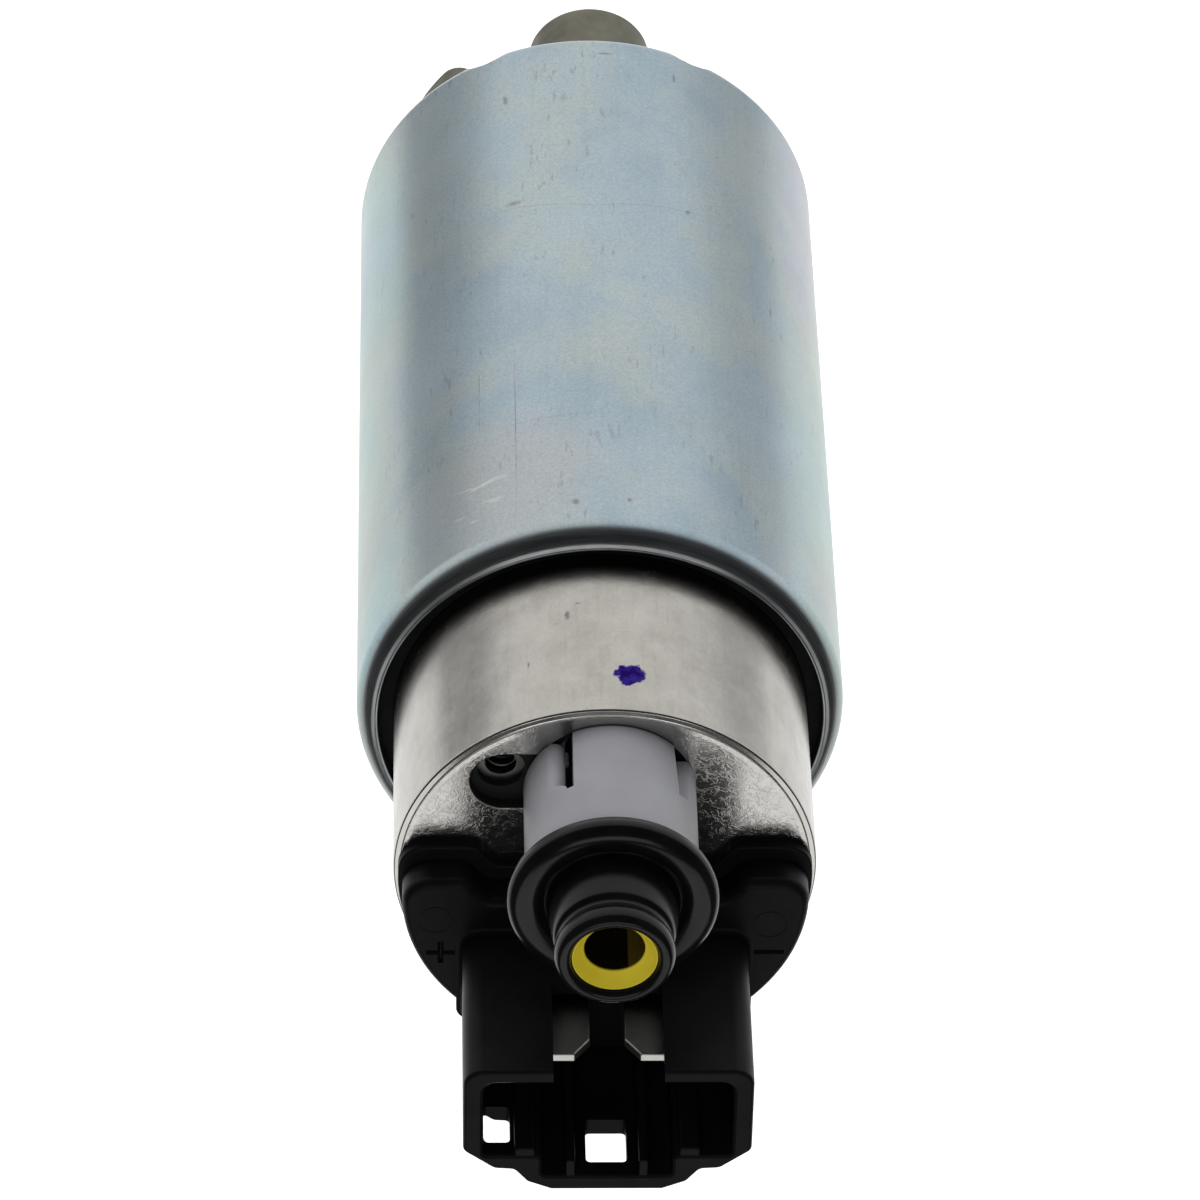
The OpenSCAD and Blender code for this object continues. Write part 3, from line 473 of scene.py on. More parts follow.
def zinc_wear(p, color, grain, drawn):
    """Grain, lines along the axis, scratches across, specks, scuffs, patches of dashes and a rubbed place."""
    color = p.mix(0.9, color, p.ramp(grain, [(0.3, 0.78), (0.7, 1.04)]), "MULTIPLY")
    color = p.mix(0.14, color, p.ramp(drawn, [(0.30, 0.75), (0.45, 1.0)]), "MULTIPLY")
    across = p.noise(0.5, 2, 0.6, (0.05, 0.05, 1.6), 0.8)
    color = p.mix(0.3, color, p.ramp(across, [(0.68, 1.0), (0.76, 0.7)]), "MULTIPLY")
    speck = p.ramp(p.noise(0.9, 3, 0.6), [(0.70, 0.0), (0.75, 1.0)])
    color = p.mix(p.times(speck, 0.4), color, (0.16, 0.14, 0.12))
    for point, r, stretch in SCUFFS:
        scuff = p.near(point, r, 0.7 * r, 1.9 * r, stretch)
        color = p.mix(p.times(scuff, 0.65), color, (0.15, 0.12, 0.11))
    patch = p.ramp(p.noise(6, 2, 0.5), [(0.50, 0.0), (0.60, 1.0)])
    dashes = p.ramp(p.noise(0.42, 2, 0.5, (1, 1, 0.22)), [(0.62, 0.0), (0.68, 1.0)])
    color = p.mix(p.times(p.times(patch, dashes), 0.4), color, (0.17, 0.17, 0.17))
    streaks = p.ramp(p.noise(0.5, 2, 0.5, (0.2, 0.2, 1.0), 0.5), [(0.64, 0.0), (0.70, 1.0)])
    rubbed = p.times(p.near((10.5, -15.8, 57), 5, 3, 3), streaks)
    return p.mix(p.times(rubbed, 0.5), color, (0.55, 0.57, 0.57))


def zinc_marks(p, color, side):
    """A faint ring round the front, left by a clamp, and the rolled lip, greyed as burnished steel and
    darkened as painted shade, with its fine rings.
    """
    height = p.math("ADD", p.axis("Z"), p.times(side, 0.16))
    off = p.math("ABSOLUTE", p.less(height, 23.4))
    ring = p.times(p.falling(off, 0.09, 12.0), p.falling(side, 9.0, 0.3))
    color = p.mix(p.times(ring, 0.3), color, (0.17, 0.17, 0.18))
    # painted shade: the rolled lip is darkened, partly as burnished steel, partly for the dark it reflects
    lip = p.rising(p.axis("Z"), SLEEVE_LEN - 1.35, 1.6)
    rings = p.ramp(p.noise(0.16, 2, 0.7, (0.03, 0.03, 1)), [(0.35, 0.45), (0.65, 0.8)])
    burnished_and_shaded = p.mix(1.0, (0.42, 0.42, 0.42), rings, "MULTIPLY")
    return p.mix(p.times(lip, 0.9), color, burnished_and_shaded)


def zinc_plate():
    """Zinc with a thin passivated film, a painted sheen on its flanks and painted shade on its rolled lip."""
    p = Paint("zinc_plate", (0.34, 0.41, 0.44), 1.0, 0.3)
    side = p.math("ABSOLUTE", p.axis("X"))
    grain = p.noise(0.22, 3, 0.75)
    drawn = p.noise(0.35, 2, 0.7, (1, 1, 0.012))
    worn = zinc_wear(p, zinc_film_and_sheen(p, side), grain, drawn)
    p.use_color(zinc_marks(p, worn, side))
    p.use_rough(p.noise(5, 4, 0.65), 0.25, 0.36)
    fine = p.bump(grain, 0.0015, p.bump(drawn, 0.001))
    p.use_normal(p.bump(p.noise(2.2, 3, 0.6), 0.006, fine))
    return p.mat


def crumpled(p, below):
    """The end plate as the press leaves it: worm-like lines and a finer unevenness over the bumps below."""
    top = p.rising(p.axis("Z"), PLATE_Z - 0.1, 20.0)
    worms = p.math("ABSOLUTE", p.less(p.noise(0.8, 3, 0.6, (1, 1, 1), 1.2), 0.5))
    lines = p.math("SUBTRACT", 1.0, p.times(worms, 20.0), clamp=True)
    lined = p.bump(p.times(lines, top), 0.0035, below)
    return p.bump(p.times(p.noise(0.2, 3, 0.7), top), 0.003, lined)


def drawn_steel():
    """Bright drawn steel: a spotted wall with the ink of a test on its front, and an end plate painted paler
    as a painted highlight.
    """
    p = Paint("drawn_steel", (0.38, 0.365, 0.34), 1.0, 0.2)
    color = p.ramp(p.noise(3.2, 5, 0.62, (1, 1, 0.8)),
                   [(0.3, (0.33, 0.315, 0.29)), (0.55, (0.395, 0.38, 0.35)), (0.8, (0.45, 0.435, 0.405))])
    grain = p.noise(0.2, 3, 0.75)
    color = p.mix(0.6, color, p.ramp(grain, [(0.3, 0.8), (0.7, 1.0)]), "MULTIPLY")
    drawn = p.noise(0.3, 2, 0.7, (1, 1, 0.05))
    color = p.mix(0.2, color, p.ramp(drawn, [(0.3, 0.7), (0.45, 1.0)]), "MULTIPLY")
    for point, r, stretch in SPOTS:
        spot = p.near(point, r, r, 3.0 * r, stretch)
        color = p.mix(p.times(spot, 0.65), color, (0.05, 0.05, 0.05))
    # painted highlight: the upward end plate is painted paler than the wall for the brighter light it
    # reflects
    plate = p.rising(p.axis("Z"), PLATE_Z - 0.4, 12.0)
    wall = p.less(1.0, plate)
    mottle = p.ramp(p.noise(1.6, 4, 0.65), [(0.3, 0.85), (0.7, 1.0)])
    plate_highlight = p.mix(1.0, (0.58, 0.565, 0.54), mottle, "MULTIPLY")
    color = p.mix(p.times(plate, 0.8), color, plate_highlight)
    ink = p.near((-1.68, -16.01, 77.5), 1.2, 0.18, 1.5)
    bare = p.less(1.0, ink)
    violet = p.ramp(p.noise(0.8, 3), [(0.4, (0.02, 0.006, 0.14)), (0.65, (0.05, 0.03, 0.30))])
    p.use_color(p.mix(ink, color, violet))
    p.link(bare, p.bsdf.inputs["Metallic"])
    p.link(p.times(bare, 0.5), p.bsdf.inputs["Specular IOR Level"])
    p.use_rough(p.times(p.noise(1.4, 4, 0.7), wall), 0.16, 0.33)
    uneven = p.bump(p.times(p.noise(0.45, 3, 0.7), wall), 0.006, p.bump(drawn, 0.002))
    p.use_normal(crumpled(p, uneven))
    return p.mat


def black_moulding():
    """Black plastic with a fine eroded grain, uneven in gloss."""
    p = Paint("black_moulding", (0.005, 0.005, 0.0055), 0.0, 0.42, Specular_IOR_Level=0.08)
    p.use_color(p.ramp(p.noise(5, 4, 0.6), [(0.3, (0.0035, 0.0035, 0.004)), (0.7, (0.007, 0.007, 0.0075))]))
    p.use_rough(p.noise(2.0, 4, 0.6), 0.34, 0.52)
    p.use_normal(p.bump(p.noise(0.16, 2, 0.6), 0.006))
    return p.mat


def milky_moulding():
    """Milky acetal that lets a little light through."""
    p = Paint("milky_moulding", (0.36, 0.36, 0.385), 0.0, 0.4, Subsurface_Weight=0.3, Subsurface_Scale=MM)
    p.bsdf.inputs["Subsurface Radius"].default_value = (1.0, 0.95, 1.1)
    p.use_color(p.ramp(p.noise(5, 4), [(0.3, (0.33, 0.33, 0.355)), (0.7, (0.38, 0.38, 0.405))]))
    p.use_rough(p.noise(1.5, 3), 0.34, 0.48)
    p.use_normal(p.bump(p.noise(0.5, 2), 0.004))
    return p.mat


def smooth_rubber(name, rough, gloss):
    """Moulded black rubber, uneven in gloss."""
    p = Paint(name, (0.005, 0.005, 0.005), 0.0, rough, Specular_IOR_Level=gloss)
    p.use_color(p.ramp(p.noise(2.5, 4, 0.6), [(0.35, 0.0035), (0.75, 0.007)]))
    p.use_rough(p.noise(1.2, 4, 0.65), 0.8 * rough, 1.3 * rough)
    p.use_normal(p.bump(p.noise(0.5, 2), 0.004))
    return p.mat


def yellow_moulding():
    """Yellow plastic with painted shade down the narrow bore: dark olive on one side, near black on the
    other.
    """
    p = Paint("yellow_moulding", (0.9, 0.74, 0.05), 0.0, 0.38, Specular_IOR_Level=0.3)
    color = p.ramp(p.noise(3, 3), [(0.3, (0.86, 0.69, 0.04)), (0.7, (0.94, 0.78, 0.06))])
    # painted shade down the bore: dark olive on its lit side and near black on its shadowed side
    depth = p.falling(p.axis("Z"), SEAL_TOP - 1.5, 4.0)
    side = p.rising(p.axis("X"), OUT_X - 1.1, 10.0)
    bore_shade = p.mix(side, (0.11, 0.075, 0.012), (0.006, 0.005, 0.002))
    p.use_color(p.mix(depth, color, bore_shade))
    p.use_normal(p.bump(p.noise(0.4, 2), 0.004))
    return p.mat


def die_casting(name, color):
    """Cast metal, dull and slightly pitted."""
    p = Paint(name, color, 0.85, 0.5)
    p.use_color(p.ramp(p.noise(2.5, 5, 0.65), [(0.3, shade(color, 0.78)), (0.7, shade(color, 1.15))]))
    p.use_rough(p.noise(0.9, 4), 0.42, 0.62)
    p.use_normal(p.bump(p.noise(0.35, 3, 0.7), 0.02))
    return p.mat


ZINC, STEEL = zinc_plate(), drawn_steel()
BLACK, MILKY, YELLOW = black_moulding(), milky_moulding(), yellow_moulding()
RUBBER, DULL_RUBBER = smooth_rubber("smooth_rubber", 0.19, 0.2), smooth_rubber("dull_rubber", 0.6, 0.1)
COVER = die_casting("cover_casting", (0.155, 0.15, 0.115))
CASTING = die_casting("pump_casting", (0.5, 0.5, 0.47))
TIN = plain("tin_plate", (0.50, 0.49, 0.46), 1.0, 0.34, 0.35, 0.18, 0.004)
WIRE = plain("spring_wire", (0.60, 0.60, 0.60), 1.0, 0.22, 0.3, 0.1, 0.002)
# a darker copy of the spring wire: painted shade for the relief spring and its retainer in their pocket
SHADED_WIRE = plain("shaded_wire", (0.24, 0.24, 0.22), 1.0, 0.34, 0.3, 0.15, 0.004)
BRONZE = plain("bronze", (0.52, 0.33, 0.17), 1.0, 0.42, 0.25, 0.15, 0.01)
CARBON = plain("carbon", (0.035, 0.035, 0.038), 0.0, 0.5, 0.3, 0.2, 0.01)
COPPER = plain("copper", (0.50, 0.20, 0.09), 1.0, 0.32, 0.4, 0.18, 0.006)
FERRITE = plain("ferrite", (0.06, 0.06, 0.065), 0.0, 0.55, 0.4, 0.2, 0.01)
CORE = plain("core_steel", (0.30, 0.31, 0.33), 1.0, 0.4, 0.3, 0.15, 0.006)
BROWN = plain("brown_moulding", (0.16, 0.09, 0.045), 0.0, 0.5, 0.5, 0.15, 0.006)
DARK = plain("dark_moulding", (0.012, 0.012, 0.012), 0.0, 0.5, 0.4, 0.15, 0.006, Specular_IOR_Level=0.15)

FINISHES = (
    (ZINC, ["housing_sleeve"]), (STEEL, ["end_cup", "motor_shaft", "thrust_pin"]),
    (BLACK, ["connector_housing"]), (TIN, ["terminal_positive", "terminal_negative"]),
    (DARK, ["brush_holder"]), (MILKY, ["outlet_fitting", "check_retainer"]), (YELLOW, ["seal_liner"]),
    (RUBBER, ["outlet_seal", "check_valve"]), (DULL_RUBBER, ["sleeve_seal"]), (COVER, ["inlet_cover"]),
    (CASTING, ["pump_casing"]), (BROWN, ["impeller"]), (CORE, ["armature_core"]),
    (FERRITE, ["magnet_right", "magnet_left"]), (BRONZE, ["upper_bearing", "lower_bearing"]),
    (CARBON, ["brush_positive", "brush_negative", "commutator"]),
    (COPPER, ["pigtail_positive", "pigtail_negative", "choke_positive", "choke_negative",
              "armature_winding"]),
    (WIRE, ["relief_ball", "magnet_clip_front", "magnet_clip_rear", "check_spring", "relief_spring",
            "brush_spring_positive", "brush_spring_negative"]),
    (SHADED_WIRE, ["relief_retainer"]))


def paint_nodes():
    """Gives each of the solids' own meshes its finish."""
    for finish, names in FINISHES:
        for name in names:
            mesh = nodes[name].data
            mesh.materials.clear()
            mesh.materials.append(finish)


# Steel pieces
def housing():
    """Sleeve with both ends rolled in and four dents pressed into its inlet edge."""
    stake_r, stake_depth, stake_angle = 4.0, 0.55, 27
    reach = (INLET_ROUND + stake_r - stake_depth) * math.cos(math.radians(45))
    stake_mid, stake_z = SLEEVE_R - INLET_ROUND + reach, INLET_ROUND - reach
    stakes = [math.radians(side + turn) for side in (-90, 90) for turn in (-stake_angle, stake_angle)]

    def dent(r, z, a):
        """Moves a point that lies in a stake's ball out to its surface."""
        if z > 6:
            return r, z
        for b in stakes:
            out = Vector((r * math.cos(a - b) - stake_mid, r * math.sin(a - b), z - stake_z))
            if 0 < out.length < stake_r and r > INLET_LIP_R + 0.5:
                moved = out.normalized() * stake_r
                return math.hypot(moved.x + stake_mid, moved.y), moved.z + stake_z
        return r, z

    # the lip from its inner edge outwards: a bead, a fine slope, and a shoulder that turns in by turn_in
    edge, bead, slope_in, slope_out = 0.15, 0.16, LIP_R + 0.30, LIP_R + 0.50
    slope_z, drop = SLEEVE_LEN - 0.075, (slope_out - slope_in) * RIM_SLOPE
    turn_in = 62
    shoulder = (SLEEVE_R - slope_out) / (1 - math.cos(math.radians(turn_in)))
    shoulder_z = slope_z - drop - shoulder * math.sin(math.radians(turn_in))
    profile = arc(INLET_LIP_R + edge, edge, edge, 180, 270, 3)
    profile += [(INLET_LIP_R + 0.6, 0), (INLET_LIP_R + 1.1, 0)]
    profile += arc(SLEEVE_R - INLET_ROUND, INLET_ROUND, INLET_ROUND, -90, 0, 10)
    profile += [(SLEEVE_R, z) for z in (1.6, 2.0, 2.5, 3.0, 3.6, 4.3, 12, 24, 36, 48, 58, 61.5)]
    profile += arc(SLEEVE_R - shoulder, shoulder_z, shoulder, 0, turn_in, 16)
    profile += [(slope_in, slope_z)]
    profile += arc(LIP_R + bead, SLEEVE_LEN - bead, bead, 40, 180, 12)
    profile += [(LIP_R, RING_TOP), (END_IN_R, RING_TOP), (END_IN_R, HOLDER_Z), (SLEEVE_IN_R, HOLDER_Z)]
    profile += [(SLEEVE_IN_R, CASING_TOP), (END_IN_R, CASING_TOP), (END_IN_R, COVER_SEAT),
                (INLET_LIP_R, COVER_SEAT)]
    return lathe("sleeve_shell", profile, n=288, turn=dent, sharp=40)


def cup():
    """Drawn cup: foot flange, wall, rim and an end plate with its openings."""
    wall, under = 1.0, PLATE_Z - 1.0
    foot = END_IN_R - 0.05
    profile = [(0, under), (CUP_R - wall, under), (CUP_R - wall, FOOT_Z), (foot, FOOT_Z),
               (foot, FOOT_Z + 1), (CUP_R + 0.25, FOOT_Z + 1), (CUP_R, FOOT_Z + 1.25)]
    profile += [(CUP_R, z) for z in (66, 72, 78)]
    # the rim: a rounding and a fine slope, and a step further in the same again
    bead, small_bead = 0.22, 0.1
    profile += arc(CUP_R - bead, PLATE_Z - 0.44, bead, 0, 70, 6)
    profile += [(CUP_R - bead - 0.19, PLATE_Z - 0.21 + 0.12 * RIM_SLOPE)]
    profile += arc(CUP_R - 0.60, PLATE_Z - 0.12, small_bead, 10, 70, 4)
    profile += [(CUP_R - 0.82, PLATE_Z - 0.03 + 0.06 * RIM_SLOPE), (CUP_R - 0.95, PLATE_Z), (0, PLATE_Z)]
    shell = lathe("cup_shell", profile, n=224, closed=False, sharp=40)
    low, high, flare = under - 1, PLATE_Z + 0.2, 0.14

    def opening(name, loop):
        """Cutter whose top flares, which leaves the opening a rounded edge."""
        steps = ((0, PLATE_Z - flare), (0.02, PLATE_Z - 0.08), (0.06, PLATE_Z - 0.03), (flare, PLATE_Z),
                 (flare, high))
        return loft(name, [(loop, low)] + [(inset(loop, -out), z) for out, z in steps])

    socket = arc(OUT_X, OUT_Y, 5.25, 0, 357.5, 143)
    window = rounded(window_outline(0.0), 0.5)
    slot_x, slot_y, slot_r = 7.65, -9.1, 2.67
    slot = arc(slot_x, slot_y, slot_r, -90, 90, 24) + [(0.0, slot_y + slot_r), (0.0, slot_y - slot_r)]
    cuts = [opening("socket_cut", socket), opening("window_cut", window), opening("slot_cut", slot)]
    # the gaps that show beside the outlet's two ears
    for start, end in ((-67, -39), (-158, -133)):
        gap = arc(OUT_X, OUT_Y, 6.4, start, end, 10) + arc(OUT_X, OUT_Y, 4.9, end, start, 10)
        cuts.append(loft("ear_gap", [(gap, low), (gap, high)]))
    return combine(shell, cuts, "DIFFERENCE")


# Connector
def window_outline(gap):
    """The rear window of the end plate, drawn in by a gap."""
    r, x = WINDOW_R - gap, WINDOW_X - gap
    half = math.degrees(math.asin(x / r))
    return [(-x, WINDOW_Y + gap), (x, WINDOW_Y + gap)] + arc(0, 0, r, 90 - half, 90 + half, 20)


def base_outline(back):
    """The connector's base, set back by a distance: two wings that sweep into the middle."""
    front, wing, corner = MIDDLE_FRONT + back, back - WING_FRONT, WING_ROUND
    side, outer = WING_SIDE + back / 2, BASE_R - back / 4
    corner_y = wing + corner
    corner_x = math.sqrt((outer - corner) ** 2 - corner_y ** 2)
    start = math.degrees(math.atan2(corner_y, corner_x))
    sweep = 0.95
    half = [(0, front), (2.5, front), (5.0, front)]
    half += arc(side - sweep, front - sweep, sweep, 90, 40, 5)
    half += arc(side + 0.35 + 1.4, wing + 1.4, 1.4, 200, 270, 6)
    half += arc(corner_x, corner_y, corner, -90, start, 8)
    half += arc(0, 0, outer, start + 3, 90, 40)
    return mirrored(half)


def shroud_outline():
    """The shroud with its stepped rear."""
    # each corner has its own rounding
    half = [(SHROUD_X, SHROUD_FRONT, 1.5), (SHROUD_X, 11.4, 0.7), (8.5, 13.3, 0.9), (7.0, 13.4, 0.7),
            (6.0, 14.7, 0.7), (4.2, 15.5, 0.6)]
    whole = half + [(-x, y, r) for x, y, r in reversed(half)]
    return rounded([(x, y) for x, y, _ in whole], [r for _, _, r in whole], 6)


def plus(half):
    """The outline of a plus mark whose strokes are twice half wide."""
    arm = 1.1
    quarter = [(half, half), (half, arm), (-half, arm)]
    return [(u * c - v * d, u * d + v * c) for c, d in ((1, 0), (0, 1), (-1, 0), (0, -1)) for u, v in quarter]


def minus(half):
    """The outline of a minus mark whose stroke is twice half wide."""
    arm = 1.15
    return [(arm, half), (-arm, half), (-arm, -half), (arm, -half)]


def shroud():
    """The solid shroud, flared at its foot and rounded at its mouth."""
    outline, flare, edge = shroud_outline(), 0.45, 0.35
    rings = [(inset(outline, -flare), BASE_TOP - 0.6)]
    rings += [(inset(outline, -flare * (1 - math.sin(math.radians(a)))),
               BASE_TOP + flare * (1 - math.cos(math.radians(a)))) for a in (0, 15, 30, 45, 60, 75, 90)]
    rings += [(inset(outline, edge * (1 - math.cos(math.radians(a)))),
               MOUTH - edge * (1 - math.sin(math.radians(a)))) for a in (0, 18, 36, 54, 72, 90)]
    return loft("shroud", rings)


def connector_cuts():
    """The shroud's hollow and windows, the blades' slots, and the marks and rings on the wings."""
    inner = rounded([(9.35, 4.32), (9.35, 11.9), (4.9, 11.9), (4.9, 14.0), (-4.9, 14.0), (-4.9, 11.9),
                     (-9.35, 11.9), (-9.35, 4.32)], [1.0, 0.4, 0.5, 0.4, 0.4, 0.5, 0.4, 1.0])
    lip = 0.25
    hollow = loft("hollow", [(inner, FLOOR), (inner, MOUTH - lip), (inset(inner, -0.08), MOUTH - 0.12),
                             (inset(inner, -lip), MOUTH), (inset(inner, -lip), MOUTH + 1)])
    notch = block("notch", -4.15, 4.15, 2.3, 5.6, 90.8, MOUTH + 1, 0.5, along="y")
    latch = block("latch_window", -1.55, 1.55, 13.2, 16.5, 94.5, 99.0, 0.35, along="y")
    side = block("side_window", 7.3, 9.3, 11.3, 14.8, 95.2, 99.0, 0.35, along="y")
    cuts = [hollow, notch, latch, side]
    slot = BLADE_W / 2 + 0.05
    for x in (-BLADE_X, BLADE_X):
        cuts.append(block("blade_slot", x - slot, x + slot, 5.35, 6.25, PLUG_Z - 1, FLOOR + 0.5))
    for name, x, marking in (("plus", 12.5, plus), ("minus", -12.5, minus)):
        rings = []
        for half, z in ((0.03, BASE_TOP - 0.28), (0.26, BASE_TOP + 0.05)):
            rings.append(([(x + u, 5.2 + v) for u, v in marking(half)], z))
        cuts.append(loft(name + "_mark", rings))
    low, high = BASE_TOP - 0.035, BASE_TOP + 0.5
    for x, y in ((12.9, 1.8), (-12.5, 2.3)):
        ring = [(1.25, low), (1.32, low), (1.36, high), (1.21, high)]
        cuts.append(lathe("ejector_ring", ring, x, y, n=40))
    return cuts


def connector():
    """Base with two wings, the plug in the end plate's window, and the shroud with its rails and tongues."""
    body = slab("connector_shell", base_outline(0.0), PLATE_Z, PLATE_Z + 0.9, high=0.25)
    upper = slab("base_upper", base_outline(BASE_BACK), PLATE_Z, BASE_TOP, high=0.75, n=7)
    plug = slab("plug", rounded(window_outline(0.05), 0.5), PLUG_Z, PLATE_Z + 0.4)
    combine(body, [upper, shroud(), plug], "UNION")
    combine(body, connector_cuts(), "DIFFERENCE")
    low, high, ribs = FLOOR - 0.3, MOUTH - 0.15, []
    for side in (-1, 1):
        rail, tongue = side * 2.75, side * 6.2
        ribs.append(block("rail", rail - 0.35, rail + 0.35, 12.5, 14.4, low, high, 0.2, high=0.12))
        ribs.append(block("tongue", tongue - 0.8, tongue + 0.8, 11.2, 12.3, low, high, 0.3, high=0.2))
    return combine(body, ribs, "UNION")


def blade(side):
    """Flat terminal with coined edges and its inner top corner cut."""
    inner, outer, tip = BLADE_X - BLADE_W / 2, BLADE_X + BLADE_W / 2, TIP_Z
    loop = [(side * x, z) for x, z in (
        (inner, BLADE_FOOT), (outer, BLADE_FOOT), (outer, tip), (inner + 1.2, tip), (inner, tip - 1.6))]
    loop = rounded(loop if side > 0 else loop[::-1], 0.12, 3)
    name = "blade_positive" if side > 0 else "blade_negative"
    return slab(name, loop, BLADE_Y, BLADE_Y + BLADE_T, 0.16, 0.16, along="y")


# Outlet
def outlet():
    """Outlet: the spigot in the end plate, the skirt with its two ears, and the chamber of the valve."""
    seat, spigot, chamber, shoulder, edge = 2.6, 5.15, 3.9, PLATE_Z + OUT_H, 0.3
    bead = shoulder + 0.5
    profile = [(seat, SPIGOT_Z), (5.0, SPIGOT_Z), (spigot, SPIGOT_Z + 0.3), (spigot, PLATE_Z)]
    profile += [(OUT_R - 0.1, PLATE_Z), (OUT_R, PLATE_Z + 0.1), (OUT_R, PLATE_Z + 4), (OUT_R, PLATE_Z + 8)]
    profile += arc(OUT_R - edge, shoulder - edge, edge, 0, 90, 5)
    profile += [(5.0, shoulder), (5.0, bead), (5.6, bead + 0.2), (5.3, bead + 0.8), (chamber, bead + 0.8)]
    profile += [(chamber, SEAT_Z), (seat, SEAT_Z)]
    body = lathe("outlet_body", profile, OUT_X, OUT_Y, n=160)
    # each ear lies back from the front wall, beside a slot on one side and a window on the other
    left = [(2.88, 9.0), (2.88, 1.7), (3.4, 1.7), (3.4, 3.0)] + arc(4.22, 3.76, 0.82, 180, 38, 10)
    left += [(5.6, 4.6), (5.6, 9.0)]
    right = [(-7.3, 9.0), (-7.3, 2.9)] + arc(-5.54, 2.3, 0.5, 150, 90, 5) + [(-4.7, 2.8), (-4.7, 9.0)]
    cuts = [ear_cut("ear_slot", left, PLATE_Z - 3.0, 86.75, 0.0, 1.9),
            ear_cut("ear_window", right, PLATE_Z - 0.4, 86.3, -0.3, 2.2)]
    combine(body, cuts, "DIFFERENCE")
    nub = slab("ear_nub", [(OUT_X + u, OUT_Y - v) for u, v in arc(3.42, 3.2, 0.3, 345, 0, 20)],
               PLATE_Z - 0.3, PLATE_Z + 0.9, high=0.12)
    return combine(body, [nub], "UNION")


def ear_cut(name, loop, low, high, lean, rise):
    """A cut down the outlet's front wall that leans sideways and runs out towards the front above."""
    steps = ((0, low, 0), (lean, high, 0), (lean, high + 0.25, 0.15), (lean, high + 0.55, 0.5),
             (lean, high + 1.1, 1))
    return loft(name, [([(OUT_X + u + move, OUT_Y - v - rise * out) for u, v in loop], z)
                       for move, z, out in steps])


def seal():
    """Rubber seal: a flange domed like a ring, a valley, the tapered collar, a groove and the mouth."""
    base, top = SEAL_Z, SEAL_Z + 2.2
    wide, mid = 1.33, SEAL_Z + 1.1
    crown, below, above = SEAL_R - wide, 1.35, 1.1
    profile = [(5.05, base), (crown - 0.02, base)]
    profile += arc(crown, mid, wide, -86, -6, 12, below / wide)
    profile += arc(crown, mid, wide, 0, 152, 26, above / wide)
    profile += [(5.24, top - 0.74), (5.1, top - 0.86), (5.0, top - 0.8), (4.96, top - 0.5), (4.92, top)]
    tip, crest, mouth = 4.48, 3.82, 3.22
    profile += [(4.84, 95.9), (4.73, 96.7), (4.60, 97.5), (4.53, 97.85), (4.46, 98.03), (4.37, 98.15)]
    profile += [(4.27, 98.24), (4.19, 98.36), (4.14, 98.52), (4.13, 98.68), (4.17, 98.85), (4.25, 99.0)]
    profile += [(4.36, 99.14), (4.44, 99.3), (tip, 99.5)]
    outer_rise, inner_rise = 1.0, 0.55
    profile += arc(crest, SEAL_TOP - outer_rise, tip - crest, 0, 90, 12, outer_rise / (tip - crest))
    profile += arc(crest, SEAL_TOP - inner_rise, crest - mouth, 100, 180, 8, inner_rise / (crest - mouth))
    profile += [(mouth, 94.8), (4.65, 94.8), (4.65, 94.2), (5.65, 94.2), (5.65, 93.3), (5.05, 93.3)]
    return lathe("seal_ring", profile, OUT_X, OUT_Y, n=160, sharp=50)


def liner():
    """Yellow liner: a funnel with a sharp inner edge above its narrow bore."""
    top, edge, bore = SEAL_TOP - 0.5, SEAL_TOP - 1.6, 2.25
    profile = [(bore, 94.15), (4.6, 94.15), (4.6, 94.75), (3.18, 94.75), (3.18, top - 0.06), (3.14, top)]
    profile += [(3.1, top), (2.84, top - 0.38), (2.56, top - 0.76), (2.34, edge + 0.1), (bore, edge)]
    profile += [(bore, 97.5)]
    return lathe("liner_shell", profile, OUT_X, OUT_Y, n=128)


# Inlet end
def lug():
    """The curved lug, an arc about the pump's axis with two round ends, and where its vent comes out."""
    mid, wide, start, end = 13.95, LUG_W / 2, -40, -15
    loop = arc(0, 0, mid + wide, start, end, 14)
    loop += arc(*point_at(mid, end), wide, end, end + 180, 14)
    loop += arc(0, 0, mid - wide, end, start, 14)
    loop += arc(*point_at(mid, start), wide, start + 180, start + 360, 14)
    return slab("lug", loop, -LUG_LEN, 1, low=0.45, n=5), point_at(mid, (start + end) / 2)


